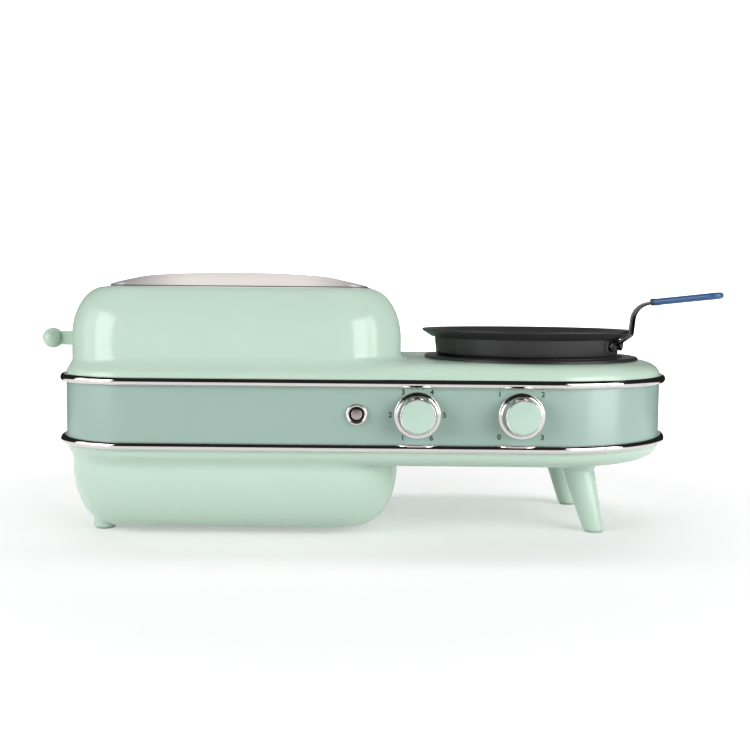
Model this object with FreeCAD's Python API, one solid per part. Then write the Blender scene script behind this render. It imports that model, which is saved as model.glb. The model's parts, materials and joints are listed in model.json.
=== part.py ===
import FreeCAD, Part
import math
import os

V = FreeCAD.Vector
up = V(0, 0, 1)
back = V(0, 1, 0)

# All sizes are millimetres. X runs along the body from the toaster to the hot plate,
# Y from the control side to the rear, Z up from the table. While the pieces are made,
# X and Y are measured from the middle of the control band.

# Plan of the control band: rounded at the toaster end, a half circle at the hot plate end
body_depth = 192.0
left_round = 53.0
wall = 2.4
overrun = 4.0
fit_gap = 0.2
run_gap = 0.05

# Trim beads above and below the control band
bead_height = 5.2
bead_proud = 4.2
lower_bead_z = 66.0
upper_bead_z = 109.5

# Upper housing: deck under the hot plate and hump over the toaster
deck_top = 122.4
shoulder_out = 16.5
shoulder_rise = 9.8
hump_inset = 7.2
hump_end_inset = 4.0
hump_right_round = 46.0
deck_gap = 19.0
hump_top = 173.3
hump_edge_out = 23.5
hump_edge_rise = 36.0
hump_foot_round = 6.0

# Lower housing: shallow tray under the deck and deep box under the toaster
tray_floor = 51.8
tray_edge_out = 14.0
tray_edge_rise = 11.2
box_step = 2.0
box_right_round = 46.0
box_floor = 4.6
box_edge_out = 24.5
box_edge_rise = 41.0
box_foot_round = 5.0
vent_count = 7
vent_length = 40.0
vent_width = 3.0
vent_pitch = 9.0
vent_offset = 10.0

# Steel cover over the toaster with its two bread slots
cover_left_margin = 26.0
cover_right_margin = 24.0
cover_depth = 116.0
cover_round = 16.0
cover_sheet = 1.0
cover_end_rise = 1.4
cover_flank = 28.0
cover_flank_rise = 6.9
cover_flank_round = 40.0
cover_peak = 11.6
cover_crown_round = 810.0
cover_edge_round = 1.2
frame_lip = 2.4
frame_ledge = 5.0
frame_sheet = 0.5
seal_inset = 0.7
seal_sheet = 0.6
slot_length = 131.0
slot_end_margin = 27.0
slot_width = 30.0
slot_pitch = 60.0
slot_round = 9.0
slot_lip_low = 1.0

# Toasting chamber
base_z = 52.0
sheet = 1.2
chamber_end_gap = 11.0
chamber_half = 64.0
chamber_top_gap = 4.0
base_end_margin = 13.0
base_half = 66.0
base_tongue_reach = 11.0
base_tongue_half = 28.0
base_window_width = 26.0
base_window_end = 6.0
board_sheet = 1.0
board_low_gap = 8.0
board_high_gap = 14.0
outer_board_gap = 22.0
ribbon_sheet = 0.4
ribbon_width = 1.8
ribbon_rows = 9
ribbon_margin = 8.0
guard_sheet = 0.9
guard_clear = 2.0
guard_bars = 9
guard_bar_width = 2.0
guard_low_gap = 3.0
guard_high_gap = 4.0

# Bread carriage with its lever at the left end
travel = 45.0
rack_top = 106.0
rack_sheet = 1.6
rack_width = 17.0
rack_tail_width = 5.0
rack_tail_slot = 7.0
rack_tooth = 4.0
rack_teeth = 5
rack_tail_reach = 7.0
rack_slot_over = 3.0
plate_gap = 6.0
carriage_half = 38.0
carriage_drop = 4.0
carriage_rise = 30.0
slider_depth = 16.0
slider_width = 14.0
slider_low = 112.0
slider_high = 141.0
rod_radius = 2.5
rod_bracket_z = 152.0
rod_bracket_high = 8.0
rod_bracket_width = 18.0
spring_inner_gap = 0.7
spring_wire = 1.4
spring_turns = 9
spring_points = 16
lever_z = 134.4
lever_height = 10.7
lever_thick = 4.0
lever_slot = 6.0
lever_slot_over = 1.4
ball_out = 25.6
ball_radius = 7.9
ball_pocket = 6.0
keeper_length = 12.0
keeper_width = 15.0
keeper_sheet = 2.0
magnet_gap = 0.3
magnet_width = 13.0
magnet_length = 14.0
pole_width = 6.5
pole_length = 7.0

# Crumb tray that draws out at the rear
crumb_length = 124.0
crumb_floor = 43.0
crumb_height = 7.0
crumb_sheet = 0.8
crumb_front = -62.0
crumb_panel = 2.4
crumb_panel_side = 5.0
crumb_slot_gap = 0.6
crumb_lip = 3.0
crumb_lip_width = 46.0
rail_width = 3.0
rail_inset = 12.0
boss_radius = 5.0
boss_out = 7.0
boss_half = 58.0
screw_head_radius = 3.6
screw_head_height = 2.2

# Controls on the front of the band
control_z = 88.6
heat_offset = 19.2
knob_pitch = 69.5
cancel_pitch = 40.7
knob_radius = 15.6
knob_gap = 0.5
knob_skirt = 4.0
knob_shoulder = 1.7
knob_depth = 14.5
knob_face_radius = 11.8
knob_cap_radius = 11.0
knob_cap_depth = 3.0
knob_cap_crown = 0.8
knob_bore_wall = 3.0
knob_shell = 1.6
shaft_radius = 3.0
shaft_hole = 4.2
shaft_end = 9.0
dial_body_radius = 12.0
switch_body_radius = 14.0
board_stand = 15.0
board_left_margin = 15.6
board_right_margin = 21.7
board_low = 72.0
board_high = 104.0
circuit_sheet = 1.6
board_post_radius = 3.0
board_post_inset = 4.5
bezel_radius = 7.2
bezel_inner = 4.6
bezel_proud = 2.4
bezel_round = 1.1
bezel_tube = 1.6
button_radius = 3.7
button_proud = 1.4
button_dome = 0.6
button_press = 2.0
button_guide = 6.0
plunger_gap = 0.3
tact_half = 4.0

# Hot plate and its surround
plate_ring_radius = 80.0
plate_ring_height = 2.4
plate_ring_round = 1.4
deck_hole = 72.0
dish_radius = 69.0
dish_flange = 78.0
dish_sheet = 0.8
dish_floor = 103.0
plate_radius = 66.0
plate_thick = 6.0
plate_proud = 0.4
plate_hub = 18.0
plate_groove_out = 54.0
plate_groove_in = 30.0
plate_groove_width = 2.0
plate_groove_depth = 0.8
element_radius = 45.0
element_half = 3.6
element_turn = 330
stat_radius = 9.0
stat_height = 9.0
stat_offset = 34.0

# Frying pan that stands on the hot plate, its handle turned towards the control side
pan_shift = 3.0
pan_base_radius = 68.0
pan_foot_round = 2.4
pan_wall_top_radius = 69.4
pan_wall_height = 13.0
pan_lip_shelf = 2.5
pan_lip_lift = 0.3
pan_lip_round = 2.4
pan_crease_round = 0.4
pan_rim_low = 18.2
pan_rim_radius = 79.4
pan_sheet = 1.8
pan_handle_angle = -33.0
bracket_width = 26.0
bracket_height = 7.6
bracket_thick = 2.4
bracket_z = 4.9
bracket_gap = 0.15
rivet_radius = 2.0
rivet_head = 3.8
rivet_head_high = 1.6
rivet_pitch = 17.0
strap_width = 8.0
strap_thick = 2.0
strap_low = 9.3
strap_out = 81.9
strap_bend = 3.5
strap_lean = 7.3
strap_top_out = 2.1
strap_top = 37.0
strap_top_bend = 13.0
strap_grip_bend = 9.0
grip_start = 97.8
grip_end = 145.9
grip_low_z = 40.2
grip_rise = 5.2
grip_width = 15.0
grip_thick = 4.4
grip_edge = 1.6
grip_root_round = 3.2
grip_hole_radius = 2.6
grip_hole_inset = 8.5
grip_pocket_end = 16.0

# Legs at the hot plate end and feet under the toaster box
leg_end_inset = 54.2
leg_side_inset = 46.5
leg_top_end_inset = 67.7
leg_top_side_inset = 53.5
leg_top_radius = 12.2
leg_bottom_radius = 7.6
collar_radius = 13.6
collar_height = 6.5
pad_height = 1.6
pad_radius = 6.6
foot_inset = 27.0
foot_half = 51.0
foot_radius = 8.2
foot_root = 8.0

# Mains inlet at the rear of the band
gland_offset = 59.0
gland_bore = 3.6
gland_radius = 6.5
gland_flange = 9.5
gland_flange_thick = 2.5
gland_proud = 6.5
gland_inside = 7.0
gland_nut_thick = 4.0
terminal_length = 34.0
terminal_depth = 18.0
terminal_height = 15.0
terminal_y = 58.0
terminal_ways = 3
terminal_screw_radius = 2.4
terminal_screw_depth = 5.0

# Heights and planes that follow from the sizes above
half_depth = body_depth / 2
cover_length = slot_length + 2 * slot_end_margin
hump_length = cover_left_margin + cover_length + cover_right_margin
body_length = hump_end_inset + hump_length + deck_gap + plate_ring_radius + half_depth
body_left = -body_length / 2
body_right = body_length / 2
pan_x = body_right - half_depth
lower_edge = lower_bead_z - bead_height / 2
upper_edge = upper_bead_z + bead_height / 2
band_low = lower_bead_z + bead_height / 2
band_high = upper_bead_z - bead_height / 2
front_y = -half_depth
band_inner = front_y + wall
hump_left = body_left + hump_end_inset
hump_right = hump_left + hump_length
box_right = hump_right - box_step
cover_x = hump_left + cover_left_margin + cover_length / 2
hump_half = half_depth - hump_inset
hump_round = left_round - hump_inset
frame_low = hump_top
seal_low = frame_low + frame_sheet
cover_low = seal_low + seal_sheet
cover_high = cover_low + cover_peak + overrun
chamber_left = cover_x - slot_length / 2 - chamber_end_gap
chamber_right = cover_x + slot_length / 2 + chamber_end_gap
chamber_low = base_z + sheet
chamber_high = hump_top - chamber_top_gap
slot_y = slot_pitch / 2
ball_x = body_left - ball_out
crumb_left = cover_x - crumb_length / 2
crumb_right = cover_x + crumb_length / 2
boss_left = chamber_left - boss_out
boss_right = chamber_right + boss_out
foot_x = body_left + foot_inset
heat_x = pan_x - heat_offset
browning_x = heat_x - knob_pitch
cancel_x = browning_x - cancel_pitch
board_left = cancel_x - board_left_margin
board_right = browning_x + board_right_margin
gland_x = pan_x - gland_offset
pan_stand = pan_x - pan_shift
pan_lip = pan_wall_top_radius + pan_lip_shelf
pan_lip_slope = math.atan2(pan_rim_low - pan_wall_height - pan_lip_lift, pan_rim_radius - pan_lip)
pan_height = pan_rim_low + pan_sheet * math.cos(pan_lip_slope)
leg_x = body_right - leg_end_inset
leg_half = half_depth - leg_side_inset
leg_top_x = body_right - leg_top_end_inset
leg_top_half = half_depth - leg_top_side_inset
rod_x = chamber_left - plate_gap - 2 * sheet - slider_width / 2
rack_low = rack_top - rack_sheet
carriage_x = chamber_left - sheet - plate_gap
slider_left = carriage_x - sheet - slider_width
dish_top = deck_top + dish_sheet
dish_inside = dish_floor + dish_sheet
ring_top = deck_top + plate_ring_height
plate_top = ring_top + plate_proud
plate_low = plate_top - plate_thick
knob_back = front_y - knob_gap
knob_front = knob_back - knob_depth
circuit_y = band_inner + board_stand

body_plan = (body_left, body_right, half_depth, left_round, half_depth)
hump_plan = (hump_left, hump_right, hump_half, hump_round, hump_right_round)
box_plan = (hump_left, box_right, hump_half, hump_round, box_right_round)


def block(x0, x1, y0, y1, z0, z1):
    return Part.makeBox(x1 - x0, y1 - y0, z1 - z0, V(x0, y0, z0))


def post(x, y, z0, z1, radius):
    return Part.makeCylinder(radius, z1 - z0, V(x, y, z0))


def bar(x, z, y0, y1, radius):
    return Part.makeCylinder(radius, y1 - y0, V(x, y0, z), back)


def line(a, b):
    return Part.LineSegment(a, b).toShape()


def quarter(centre, first, second):
    # Quarter of an ellipse about centre, from the end of one half axis to the end of the other
    if (first - centre).Length >= (second - centre).Length:
        ellipse = Part.Ellipse(first, second, centre)
    else:
        ellipse = Part.Ellipse(second, first, centre)
    return Part.ArcOfEllipse(ellipse, 0, math.pi / 2).toShape()


def filled(edges):
    return Part.Face(Part.Wire(Part.__sortEdges__(edges)))


def polygon(points):
    return Part.Face(Part.makePolygon(points + points[:1]))


def plan_runs(plan, inset=0):
    # Sides and corners of a rounded plan, anticlockwise from the front: heading, start, run, corner
    left, right, half, left_r, right_r = plan
    x0, x1, y1 = left + inset, right - inset, half - inset
    a, b = left_r - inset, right_r - inset
    corners = (
        (V(x0 + a, -y1, 0), V(x1 - b, -y1, 0), V(x1 - b, b - y1, 0)),
        (V(x1, b - y1, 0), V(x1, y1 - b, 0), V(x1 - b, y1 - b, 0)),
        (V(x1 - b, y1, 0), V(x0 + a, y1, 0), V(x0 + a, y1 - a, 0)),
        (V(x0, y1 - a, 0), V(x0, a - y1, 0), V(x0 + a, a - y1, 0)),
    )
    runs = []
    for side, (start, end, centre) in enumerate(corners):
        if (end - start).Length > run_gap:
            runs.append((90 * side, start, end, None))
        runs.append((90 * side, end, None, centre))
    return runs


def plan_face(plan, inset, z):
    edges = []
    for heading, start, end, centre in plan_runs(plan, inset):
        if centre is None:
            edges.append(line(start, end))
        else:
            turn = FreeCAD.Rotation(up, 90)
            half_turn = FreeCAD.Rotation(up, 45)
            spoke = start - centre
            edges.append(Part.Arc(start, centre + half_turn * spoke, centre + turn * spoke).toShape())
    face = Part.Face(Part.Wire(edges))
    face.translate(up * z)
    return face


def prism(plan, inset, z0, z1):
    return plan_face(plan, inset, z0).extrude(up * (z1 - z0))


def carried(section, plan):
    # A section drawn with Y as the distance in from the outline, carried round the plan
    pieces = []
    for heading, start, end, centre in plan_runs(plan):
        face = section.copy()
        face.rotate(V(), up, heading)
        face.translate(start)
        if centre is None:
            pieces.append(face.extrude(end - start))
        else:
            pieces.append(face.revolve(centre, up, 90))
    return pieces[0].multiFuse(pieces[1:]).removeSplitter()


def rounded_form(plan, inset, edge, end, out, rise):
    # Closed form from the height edge to the height end, whose rim at end is a quarter ellipse
    side = 1 if end > edge else -1
    spring = end - side * rise
    crown = end - side * inset
    centre = V(0, out, spring)
    foot, bend = V(0, inset, edge), V(0, inset, spring)
    top, core = V(0, out, crown), V(0, out, edge)
    curve = quarter(centre, bend, top)
    rim = carried(filled([line(foot, bend), curve, line(top, core), line(core, foot)]), plan)
    return rim.fuse(prism(plan, out, edge, crown)).removeSplitter()


def centred_plan(x, length, depth, radius):
    return (x - length / 2, x + length / 2, depth / 2, radius, radius)


def turned(points, x, y, z=0):
    # Solid of revolution about an upright axis, from radius and height pairs
    face = polygon([V(radius, 0, height) for radius, height in points])
    solid = face.revolve(V(), up, 360)
    solid.translate(V(x, y, z))
    return solid


def foot_edges(solid, plan, z0, z1):
    # Edges where the walls of a plan rise from the form below them
    outline = plan_face(plan, 0, 0).OuterWire
    found = []
    for edge in solid.Edges:
        box = edge.BoundBox
        middle = edge.valueAt((edge.FirstParameter + edge.LastParameter) / 2)
        flat = Part.Vertex(V(middle.x, middle.y, 0))
        on_outline = outline.distToShape(flat)[0] < run_gap
        if on_outline and box.ZMin > z0 and box.ZMax < z1:
            found.append(edge)
    return found


def upper_form(inset, edge):
    deck = rounded_form(body_plan, inset, edge, deck_top, shoulder_out, shoulder_rise)
    hump = rounded_form(hump_plan, inset, edge, hump_top, hump_edge_out, hump_edge_rise)
    return deck.fuse(hump).removeSplitter()


def lower_form(inset, edge):
    tray = rounded_form(body_plan, inset, edge, tray_floor, tray_edge_out, tray_edge_rise)
    box = rounded_form(box_plan, inset, edge, box_floor, box_edge_out, box_edge_rise)
    return tray.fuse(box).removeSplitter()


def lever_cut():
    low = lever_z - lever_height / 2 - travel - lever_slot_over
    high = lever_z + lever_height / 2 + lever_slot_over
    x0, x1 = body_left - bead_proud - overrun, hump_left + wall + overrun
    return block(x0, x1, -lever_slot / 2, lever_slot / 2, low, high)


def upper_housing():
    outer = upper_form(0, upper_edge)
    feet = foot_edges(outer, hump_plan, upper_edge, deck_top + run_gap)
    outer = outer.makeFillet(hump_foot_round, feet)
    shell = outer.cut(upper_form(wall, upper_edge - overrun))
    mouth_plan = centred_plan(cover_x, cover_length, cover_depth, cover_round)
    shell = shell.cut(prism(mouth_plan, frame_ledge, hump_top - wall - overrun, hump_top + overrun))
    shell = shell.cut(post(pan_x, 0, deck_top - wall - overrun, deck_top + overrun, deck_hole))
    return shell.cut(lever_cut())


def crumb_opening():
    x0 = crumb_left - crumb_panel_side - crumb_slot_gap
    x1 = crumb_right + crumb_panel_side + crumb_slot_gap
    z0 = crumb_floor - crumb_slot_gap
    z1 = crumb_floor + crumb_height + crumb_slot_gap
    return block(x0, x1, hump_half - wall - overrun, hump_half + overrun, z0, z1)


def lower_housing():
    outer = lower_form(0, lower_edge)
    feet = foot_edges(outer, box_plan, tray_floor - run_gap, lower_edge)
    outer = outer.makeFillet(box_foot_round, feet)
    for side in (-1, 1):
        outer = outer.fuse(post(foot_x, side * foot_half, pad_height, box_floor + foot_root, foot_radius))
    hollow = lower_form(wall, lower_edge + overrun)
    shell = outer.cut(hollow)
    for vent in range(vent_count):
        x = pan_x - vent_offset + (vent - (vent_count - 1) / 2) * vent_pitch
        shell = shell.cut(block(x - vent_width / 2, x + vent_width / 2, -vent_length / 2, vent_length / 2,
                                tray_floor - overrun, tray_floor + wall + overrun))
    ribs = []
    for x in (crumb_left + rail_inset, crumb_right - rail_inset):
        x0, x1 = x - rail_width / 2, x + rail_width / 2
        ribs.append(block(x0, x1, -hump_half, hump_half, box_floor, crumb_floor))
    for x in (boss_left, boss_right):
        for y in (-boss_half, boss_half):
            ribs.append(post(x, y, box_floor, base_z, boss_radius))
    inside = [rib.common(hollow) for rib in ribs]
    shell = shell.multiFuse(inside).removeSplitter()
    return shell.cut(crumb_opening())


def band_panel():
    section = polygon([V(0, 0, band_low), V(0, wall, band_low), V(0, wall, band_high), V(0, 0, band_high)])
    band = carried(section, body_plan)
    posts = []
    for x in (board_left + board_post_inset, board_right - board_post_inset):
        for z in (board_low + board_post_inset, board_high - board_post_inset):
            posts.append(bar(x, z, band_inner - run_gap, circuit_y, board_post_radius))
    band = band.multiFuse(posts).removeSplitter()
    for x, radius in ((browning_x, shaft_hole), (heat_x, shaft_hole), (cancel_x, bezel_inner + bezel_tube)):
        band = band.cut(bar(x, control_z, front_y - overrun, band_inner + overrun, radius))
    band = band.cut(bar(gland_x, control_z, half_depth - wall - overrun, half_depth + overrun, gland_radius))
    return band.cut(lever_cut())


def bead(z):
    half = bead_height / 2
    nose = Part.Arc(V(0, 0, z - half), V(0, -bead_proud, z), V(0, 0, z + half)).toShape()
    corners = [V(0, 0, z + half), V(0, wall, z + half), V(0, wall, z - half), V(0, 0, z - half)]
    sides = [line(a, b) for a, b in zip(corners, corners[1:])]
    return carried(filled([nose] + sides), body_plan)


def arched_cover(inset):
    # Rounded plan under a flat arch with a slope at each end, on low end walls, its rim rounded over
    plan = centred_plan(cover_x, cover_length, cover_depth, cover_round)
    half = cover_length / 2
    sides = [V(-half, 0, cover_end_rise), V(cover_flank - half, 0, cover_flank_rise)]
    rounds = [cover_flank_round - inset, cover_crown_round - inset, cover_flank_round - inset]
    points = sides + [V(0, 0, cover_peak)] + [V(-p.x, 0, p.z) for p in reversed(sides)]
    curve = bent_path(shifted(points, -inset), rounds)
    ends = curve.Vertexes[0].Point, curve.Vertexes[-1].Point
    left, right = (V(end.x, 0, 0) for end in ends)
    section = filled(curve.Edges + [line(ends[0], left), line(left, right), line(right, ends[1])])
    arch = section.extrude(back * (cover_depth + 2 * overrun))
    arch.translate(V(cover_x, -cover_depth / 2 - overrun, cover_low))
    form = prism(plan, inset, cover_low, cover_high).common(arch).removeSplitter()
    rim = [e for e in form.Edges if e.BoundBox.ZMin > cover_low + run_gap and not across_arch(e)]
    return form.makeFillet(cover_edge_round - inset, rim)


def across_arch(edge):
    # Seams of the arch run straight across it, from the front rim to the rear
    box = edge.BoundBox
    return box.XLength < run_gap and box.YLength > cover_depth - 2 * cover_round - overrun


def slot_prism(y, grow, z0, z1):
    plan = centred_plan(cover_x, slot_length + 2 * grow, slot_width + 2 * grow, slot_round + grow)
    solid = prism(plan, 0, z0, z1)
    solid.translate(back * y)
    return solid


def toaster_cover():
    outer = arched_cover(0)
    high = cover_high
    cover = outer.cut(arched_cover(cover_sheet))
    for y in (-slot_y, slot_y):
        lip = slot_prism(y, cover_sheet, cover_low + slot_lip_low, high).common(outer)
        cover = cover.fuse(lip)
        cover = cover.cut(slot_prism(y, 0, cover_low - overrun, high))
    return cover.removeSplitter()


def cover_frame():
    plan = centred_plan(cover_x, cover_length, cover_depth, cover_round)
    ring = prism(plan, -frame_lip, frame_low, seal_low)
    return ring.cut(prism(plan, frame_ledge, frame_low - overrun, seal_low + overrun))


def cover_seal():
    plan = centred_plan(cover_x, cover_length, cover_depth, cover_round)
    ring = prism(plan, seal_inset, seal_low, cover_low)
    return ring.cut(prism(plan, frame_ledge, seal_low - overrun, cover_low + overrun))


def base_frame():
    # Sheet that carries the chamber, with a window under each slot and a tongue under the lever gear
    left, right = chamber_left - base_end_margin, chamber_right + base_end_margin
    tip = left - base_tongue_reach
    plate = block(left, right, -base_half, base_half, base_z, chamber_low)
    tongue = block(tip, left, -base_tongue_half, base_tongue_half, base_z, chamber_low)
    plate = plate.fuse(tongue).removeSplitter()
    for y in (-slot_y, slot_y):
        plate = plate.cut(block(chamber_left + base_window_end, chamber_right - base_window_end,
                                y - base_window_width / 2, y + base_window_width / 2,
                                base_z - overrun, base_z + overrun))
    return plate


def chamber_plate(x0):
    plate = block(x0, x0 + sheet, -chamber_half, chamber_half, chamber_low, chamber_high)
    low = rack_low - travel - rack_slot_over
    high = rack_top + rack_slot_over
    for y in (-slot_y, slot_y):
        plate = plate.cut(block(x0 - overrun, x0 + sheet + overrun, y - rack_tail_slot / 2,
                                y + rack_tail_slot / 2, low, high))
    return plate


def heater_board(y):
    low = chamber_low + board_low_gap
    high = chamber_high - board_high_gap
    return block(chamber_left, chamber_right, y - board_sheet / 2, y + board_sheet / 2, low, high)


def heater_ribbon(y, side):
    # One flat ribbon in level rows, joined by turns at alternate ends
    low = chamber_low + board_low_gap + ribbon_margin
    high = chamber_high - board_high_gap - ribbon_margin
    x0, x1 = chamber_left + ribbon_margin, chamber_right - ribbon_margin
    face = y + side * board_sheet / 2
    y0, y1 = min(face, face + side * ribbon_sheet), max(face, face + side * ribbon_sheet)
    step = (high - low - ribbon_width) / (ribbon_rows - 1)
    rows = []
    for row in range(ribbon_rows):
        z = low + row * step
        rows.append(block(x0, x1, y0, y1, z, z + ribbon_width))
        if row < ribbon_rows - 1:
            turn = x1 - ribbon_width if row % 2 == 0 else x0
            rows.append(block(turn, turn + ribbon_width, y0, y1, z + ribbon_width, z + step))
    return rows[0].multiFuse(rows[1:]).removeSplitter()


def heater_element(y, sides):
    return Part.makeCompound([heater_ribbon(y, side) for side in sides])


def bread_guard(y):
    low, high = chamber_low + guard_low_gap, chamber_high - guard_high_gap
    plate = block(chamber_left, chamber_right, y - guard_sheet / 2, y + guard_sheet / 2, low, high)
    pitch = (chamber_right - chamber_left - guard_bar_width) / guard_bars
    for window in range(guard_bars):
        x = chamber_left + guard_bar_width + window * pitch
        plate = plate.cut(block(x, x + pitch - guard_bar_width, y - overrun, y + overrun,
                                low + guard_bar_width, high - guard_bar_width))
    return plate


def slot_guards(y):
    spread = slot_width / 2 - guard_clear
    return Part.makeCompound([bread_guard(y - spread), bread_guard(y + spread)])


def bread_rack(y):
    # Flat bearer with raised teeth, narrow where it passes through the chamber's ends
    x0, x1 = cover_x - slot_length / 2, cover_x + slot_length / 2
    parts = [block(carriage_x, chamber_right + rack_tail_reach, y - rack_tail_width / 2,
                   y + rack_tail_width / 2, rack_low, rack_top)]
    pitch = (x1 - x0 - rack_tail_width) / (rack_teeth - 1)
    for tooth in range(rack_teeth):
        x = x0 + tooth * pitch
        x_end = x + rack_tail_width
        front, rear = y - rack_width / 2, y + rack_width / 2
        parts.append(block(x, x_end, front, rear, rack_low, rack_top))
        for edge in (front, rear - rack_sheet):
            parts.append(block(x, x_end, edge, edge + rack_sheet, rack_top, rack_top + rack_tooth))
    return parts[0].multiFuse(parts[1:]).removeSplitter()


def carriage_plate():
    plate = block(carriage_x - sheet, carriage_x, -carriage_half, carriage_half,
                  rack_low - carriage_drop, rack_top + carriage_rise)
    notch_low = rack_top + carriage_drop
    for side in (-1, 1):
        y0, y1 = sorted((side * slider_depth / 2, side * (carriage_half + overrun)))
        plate = plate.cut(block(carriage_x - overrun, carriage_x + overrun, y0, y1,
                                notch_low, rack_top + carriage_rise + overrun))
    return plate


def carriage_slider():
    body = block(slider_left, slider_left + slider_width, -slider_depth / 2, slider_depth / 2,
                 slider_low, slider_high)
    return body.cut(post(rod_x, 0, slider_low - overrun, slider_high + overrun, rod_radius + run_gap))


def lever_arm():
    return block(ball_x + ball_radius - ball_pocket, slider_left, -lever_thick / 2, lever_thick / 2,
                 lever_z - lever_height / 2, lever_z + lever_height / 2)


def lever_ball():
    return Part.makeSphere(ball_radius, V(ball_x, 0, lever_z)).cut(lever_arm())


def latch_keeper():
    return block(rod_x - keeper_length / 2, rod_x + keeper_length / 2, slider_depth / 2,
                 slider_depth / 2 + keeper_width, slider_low, slider_low + keeper_sheet)


def latch_magnet():
    middle = slider_depth / 2 + keeper_width / 2
    high = slider_low - travel - magnet_gap
    coil = block(rod_x - magnet_length / 2, rod_x + magnet_length / 2, middle - magnet_width / 2,
                 middle + magnet_width / 2, chamber_low, high - magnet_gap)
    pole = block(rod_x - pole_length / 2, rod_x + pole_length / 2, middle - pole_width / 2,
                 middle + pole_width / 2, chamber_low, high)
    return coil.fuse(pole)


def guide_rod():
    return post(rod_x, 0, chamber_low, rod_bracket_z + rod_bracket_high, rod_radius)


def rod_bracket():
    top = block(rod_x - rod_bracket_width / 2, chamber_left - sheet, -rod_bracket_width / 2,
                rod_bracket_width / 2, rod_bracket_z, rod_bracket_z + sheet)
    flange = block(chamber_left - 2 * sheet, chamber_left - sheet, -rod_bracket_width / 2,
                   rod_bracket_width / 2, rod_bracket_z, rod_bracket_z + rod_bracket_high)
    hole = post(rod_x, 0, rod_bracket_z - overrun, rod_bracket_z + overrun, rod_radius + run_gap)
    return top.fuse(flange).removeSplitter().cut(hole)


def coil_path(radius, pitch, turns):
    # Helix of quarter turns: each arc touches the middles of two sides of a square around the coil
    corners = []
    for step in range(4 * turns + 2):
        angle = math.pi / 4 + (step - 1) * math.pi / 2
        reach = radius / math.cos(math.pi / 4)
        corners.append(V(reach * math.cos(angle), reach * math.sin(angle), (step - 1 / 2) * pitch / 4))
    middles = [(a + b) / 2 for a, b in zip(corners, corners[1:])]
    arcs = []
    for first, corner, last in zip(middles, corners[1:], middles[1:]):
        turn = (corner - first).getAngle(last - corner)
        bend = (corner - first).Length / math.tan(turn / 2)
        inward = ((first + last) / 2 - corner).normalize()
        middle = corner + inward * (bend / math.cos(turn / 2) - bend)
        arcs.append(Part.Arc(first, middle, last).toShape())
    return Part.Wire(arcs)


def return_spring():
    # Compression spring around the guide rod, its end turns cut flat where they seat
    radius = rod_radius + spring_inner_gap + spring_wire / 2
    pitch = (slider_low - chamber_low) / spring_turns
    path = coil_path(radius, pitch, spring_turns)
    start = path.Edges[0]
    along = start.tangentAt(start.FirstParameter)
    section = Part.Wire(Part.makeCircle(spring_wire / 2, start.valueAt(start.FirstParameter), along))
    coil = path.makePipeShell([section], True, False)
    coil.translate(V(rod_x, 0, chamber_low))
    reach = radius + spring_wire
    seat = block(rod_x - reach, rod_x + reach, -reach, reach, chamber_low, slider_low)
    points = path.discretize(Number=spring_points * spring_turns)
    half_turn = spring_points // 2
    gap = min((b - a).Length for i, a in enumerate(points) for b in points[i + half_turn:]) - spring_wire
    print("return_spring least gap between turns", round(gap, 2), "mm")
    return coil.common(seat)


def crumb_tray():
    panel_y = hump_half - crumb_panel
    box = block(crumb_left, crumb_right, crumb_front, panel_y, crumb_floor, crumb_floor + crumb_height)
    hollow = block(crumb_left + crumb_sheet, crumb_right - crumb_sheet, crumb_front + crumb_sheet,
                   panel_y - crumb_sheet, crumb_floor + crumb_sheet, crumb_floor + crumb_height + overrun)
    panel = block(crumb_left - crumb_panel_side, crumb_right + crumb_panel_side, panel_y, hump_half,
                  crumb_floor, crumb_floor + crumb_height)
    middle = (crumb_left + crumb_right) / 2
    lip = block(middle - crumb_lip_width / 2, middle + crumb_lip_width / 2, hump_half, hump_half + crumb_lip,
                crumb_floor + crumb_height - crumb_panel, crumb_floor + crumb_height)
    return box.cut(hollow).multiFuse([panel, lip]).removeSplitter()


def base_screws():
    heads = []
    for x in (boss_left, boss_right):
        for y in (-boss_half, boss_half):
            head = post(x, y, chamber_low, chamber_low + screw_head_height, screw_head_radius)
            heads.append(head)
    return Part.makeCompound(heads)


def turned_forward(points, x):
    # Solid of revolution about a control's axis, from radius and depth pairs, depth measured to the front
    face = polygon([V(radius, -depth, 0) for radius, depth in points])
    solid = face.revolve(V(), back, 360)
    solid.translate(V(x, front_y, control_z))
    return solid


def knob_skirt_ring(x):
    base, face = knob_gap, knob_gap + knob_depth
    shoulder = knob_radius - knob_shoulder
    inside = base + knob_skirt - knob_shell
    outer = [(shaft_radius, base + knob_shell), (shaft_radius + knob_bore_wall, base + knob_shell),
             (shaft_radius + knob_bore_wall, face - knob_cap_depth - knob_shell),
             (knob_face_radius - knob_shell, face - knob_cap_depth - knob_shell),
             (shoulder - knob_shell, inside), (knob_radius - knob_shell, inside),
             (knob_radius - knob_shell, base), (knob_radius, base), (knob_radius, base + knob_skirt),
             (shoulder, base + knob_skirt), (knob_face_radius, face), (knob_cap_radius, face),
             (knob_cap_radius, face - knob_cap_depth), (shaft_radius, face - knob_cap_depth)]
    return turned_forward(outer, x)


def knob_cap(x):
    # Disc with a slightly domed face
    face = knob_front
    sphere_radius = (knob_cap_radius ** 2 + knob_cap_crown ** 2) / (2 * knob_cap_crown)
    disc = bar(x, control_z, face - knob_cap_crown - overrun, face + knob_cap_depth, knob_cap_radius)
    return disc.common(Part.makeSphere(sphere_radius, V(x, face - knob_cap_crown + sphere_radius, control_z)))


def knob_shaft(x):
    return bar(x, control_z, knob_front + knob_cap_depth, band_inner + shaft_end, shaft_radius)


def control_body(x, radius):
    body = bar(x, control_z, band_inner, circuit_y, radius)
    return body.cut(bar(x, control_z, band_inner - overrun, band_inner + shaft_end + fit_gap,
                        shaft_radius + run_gap))


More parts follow.
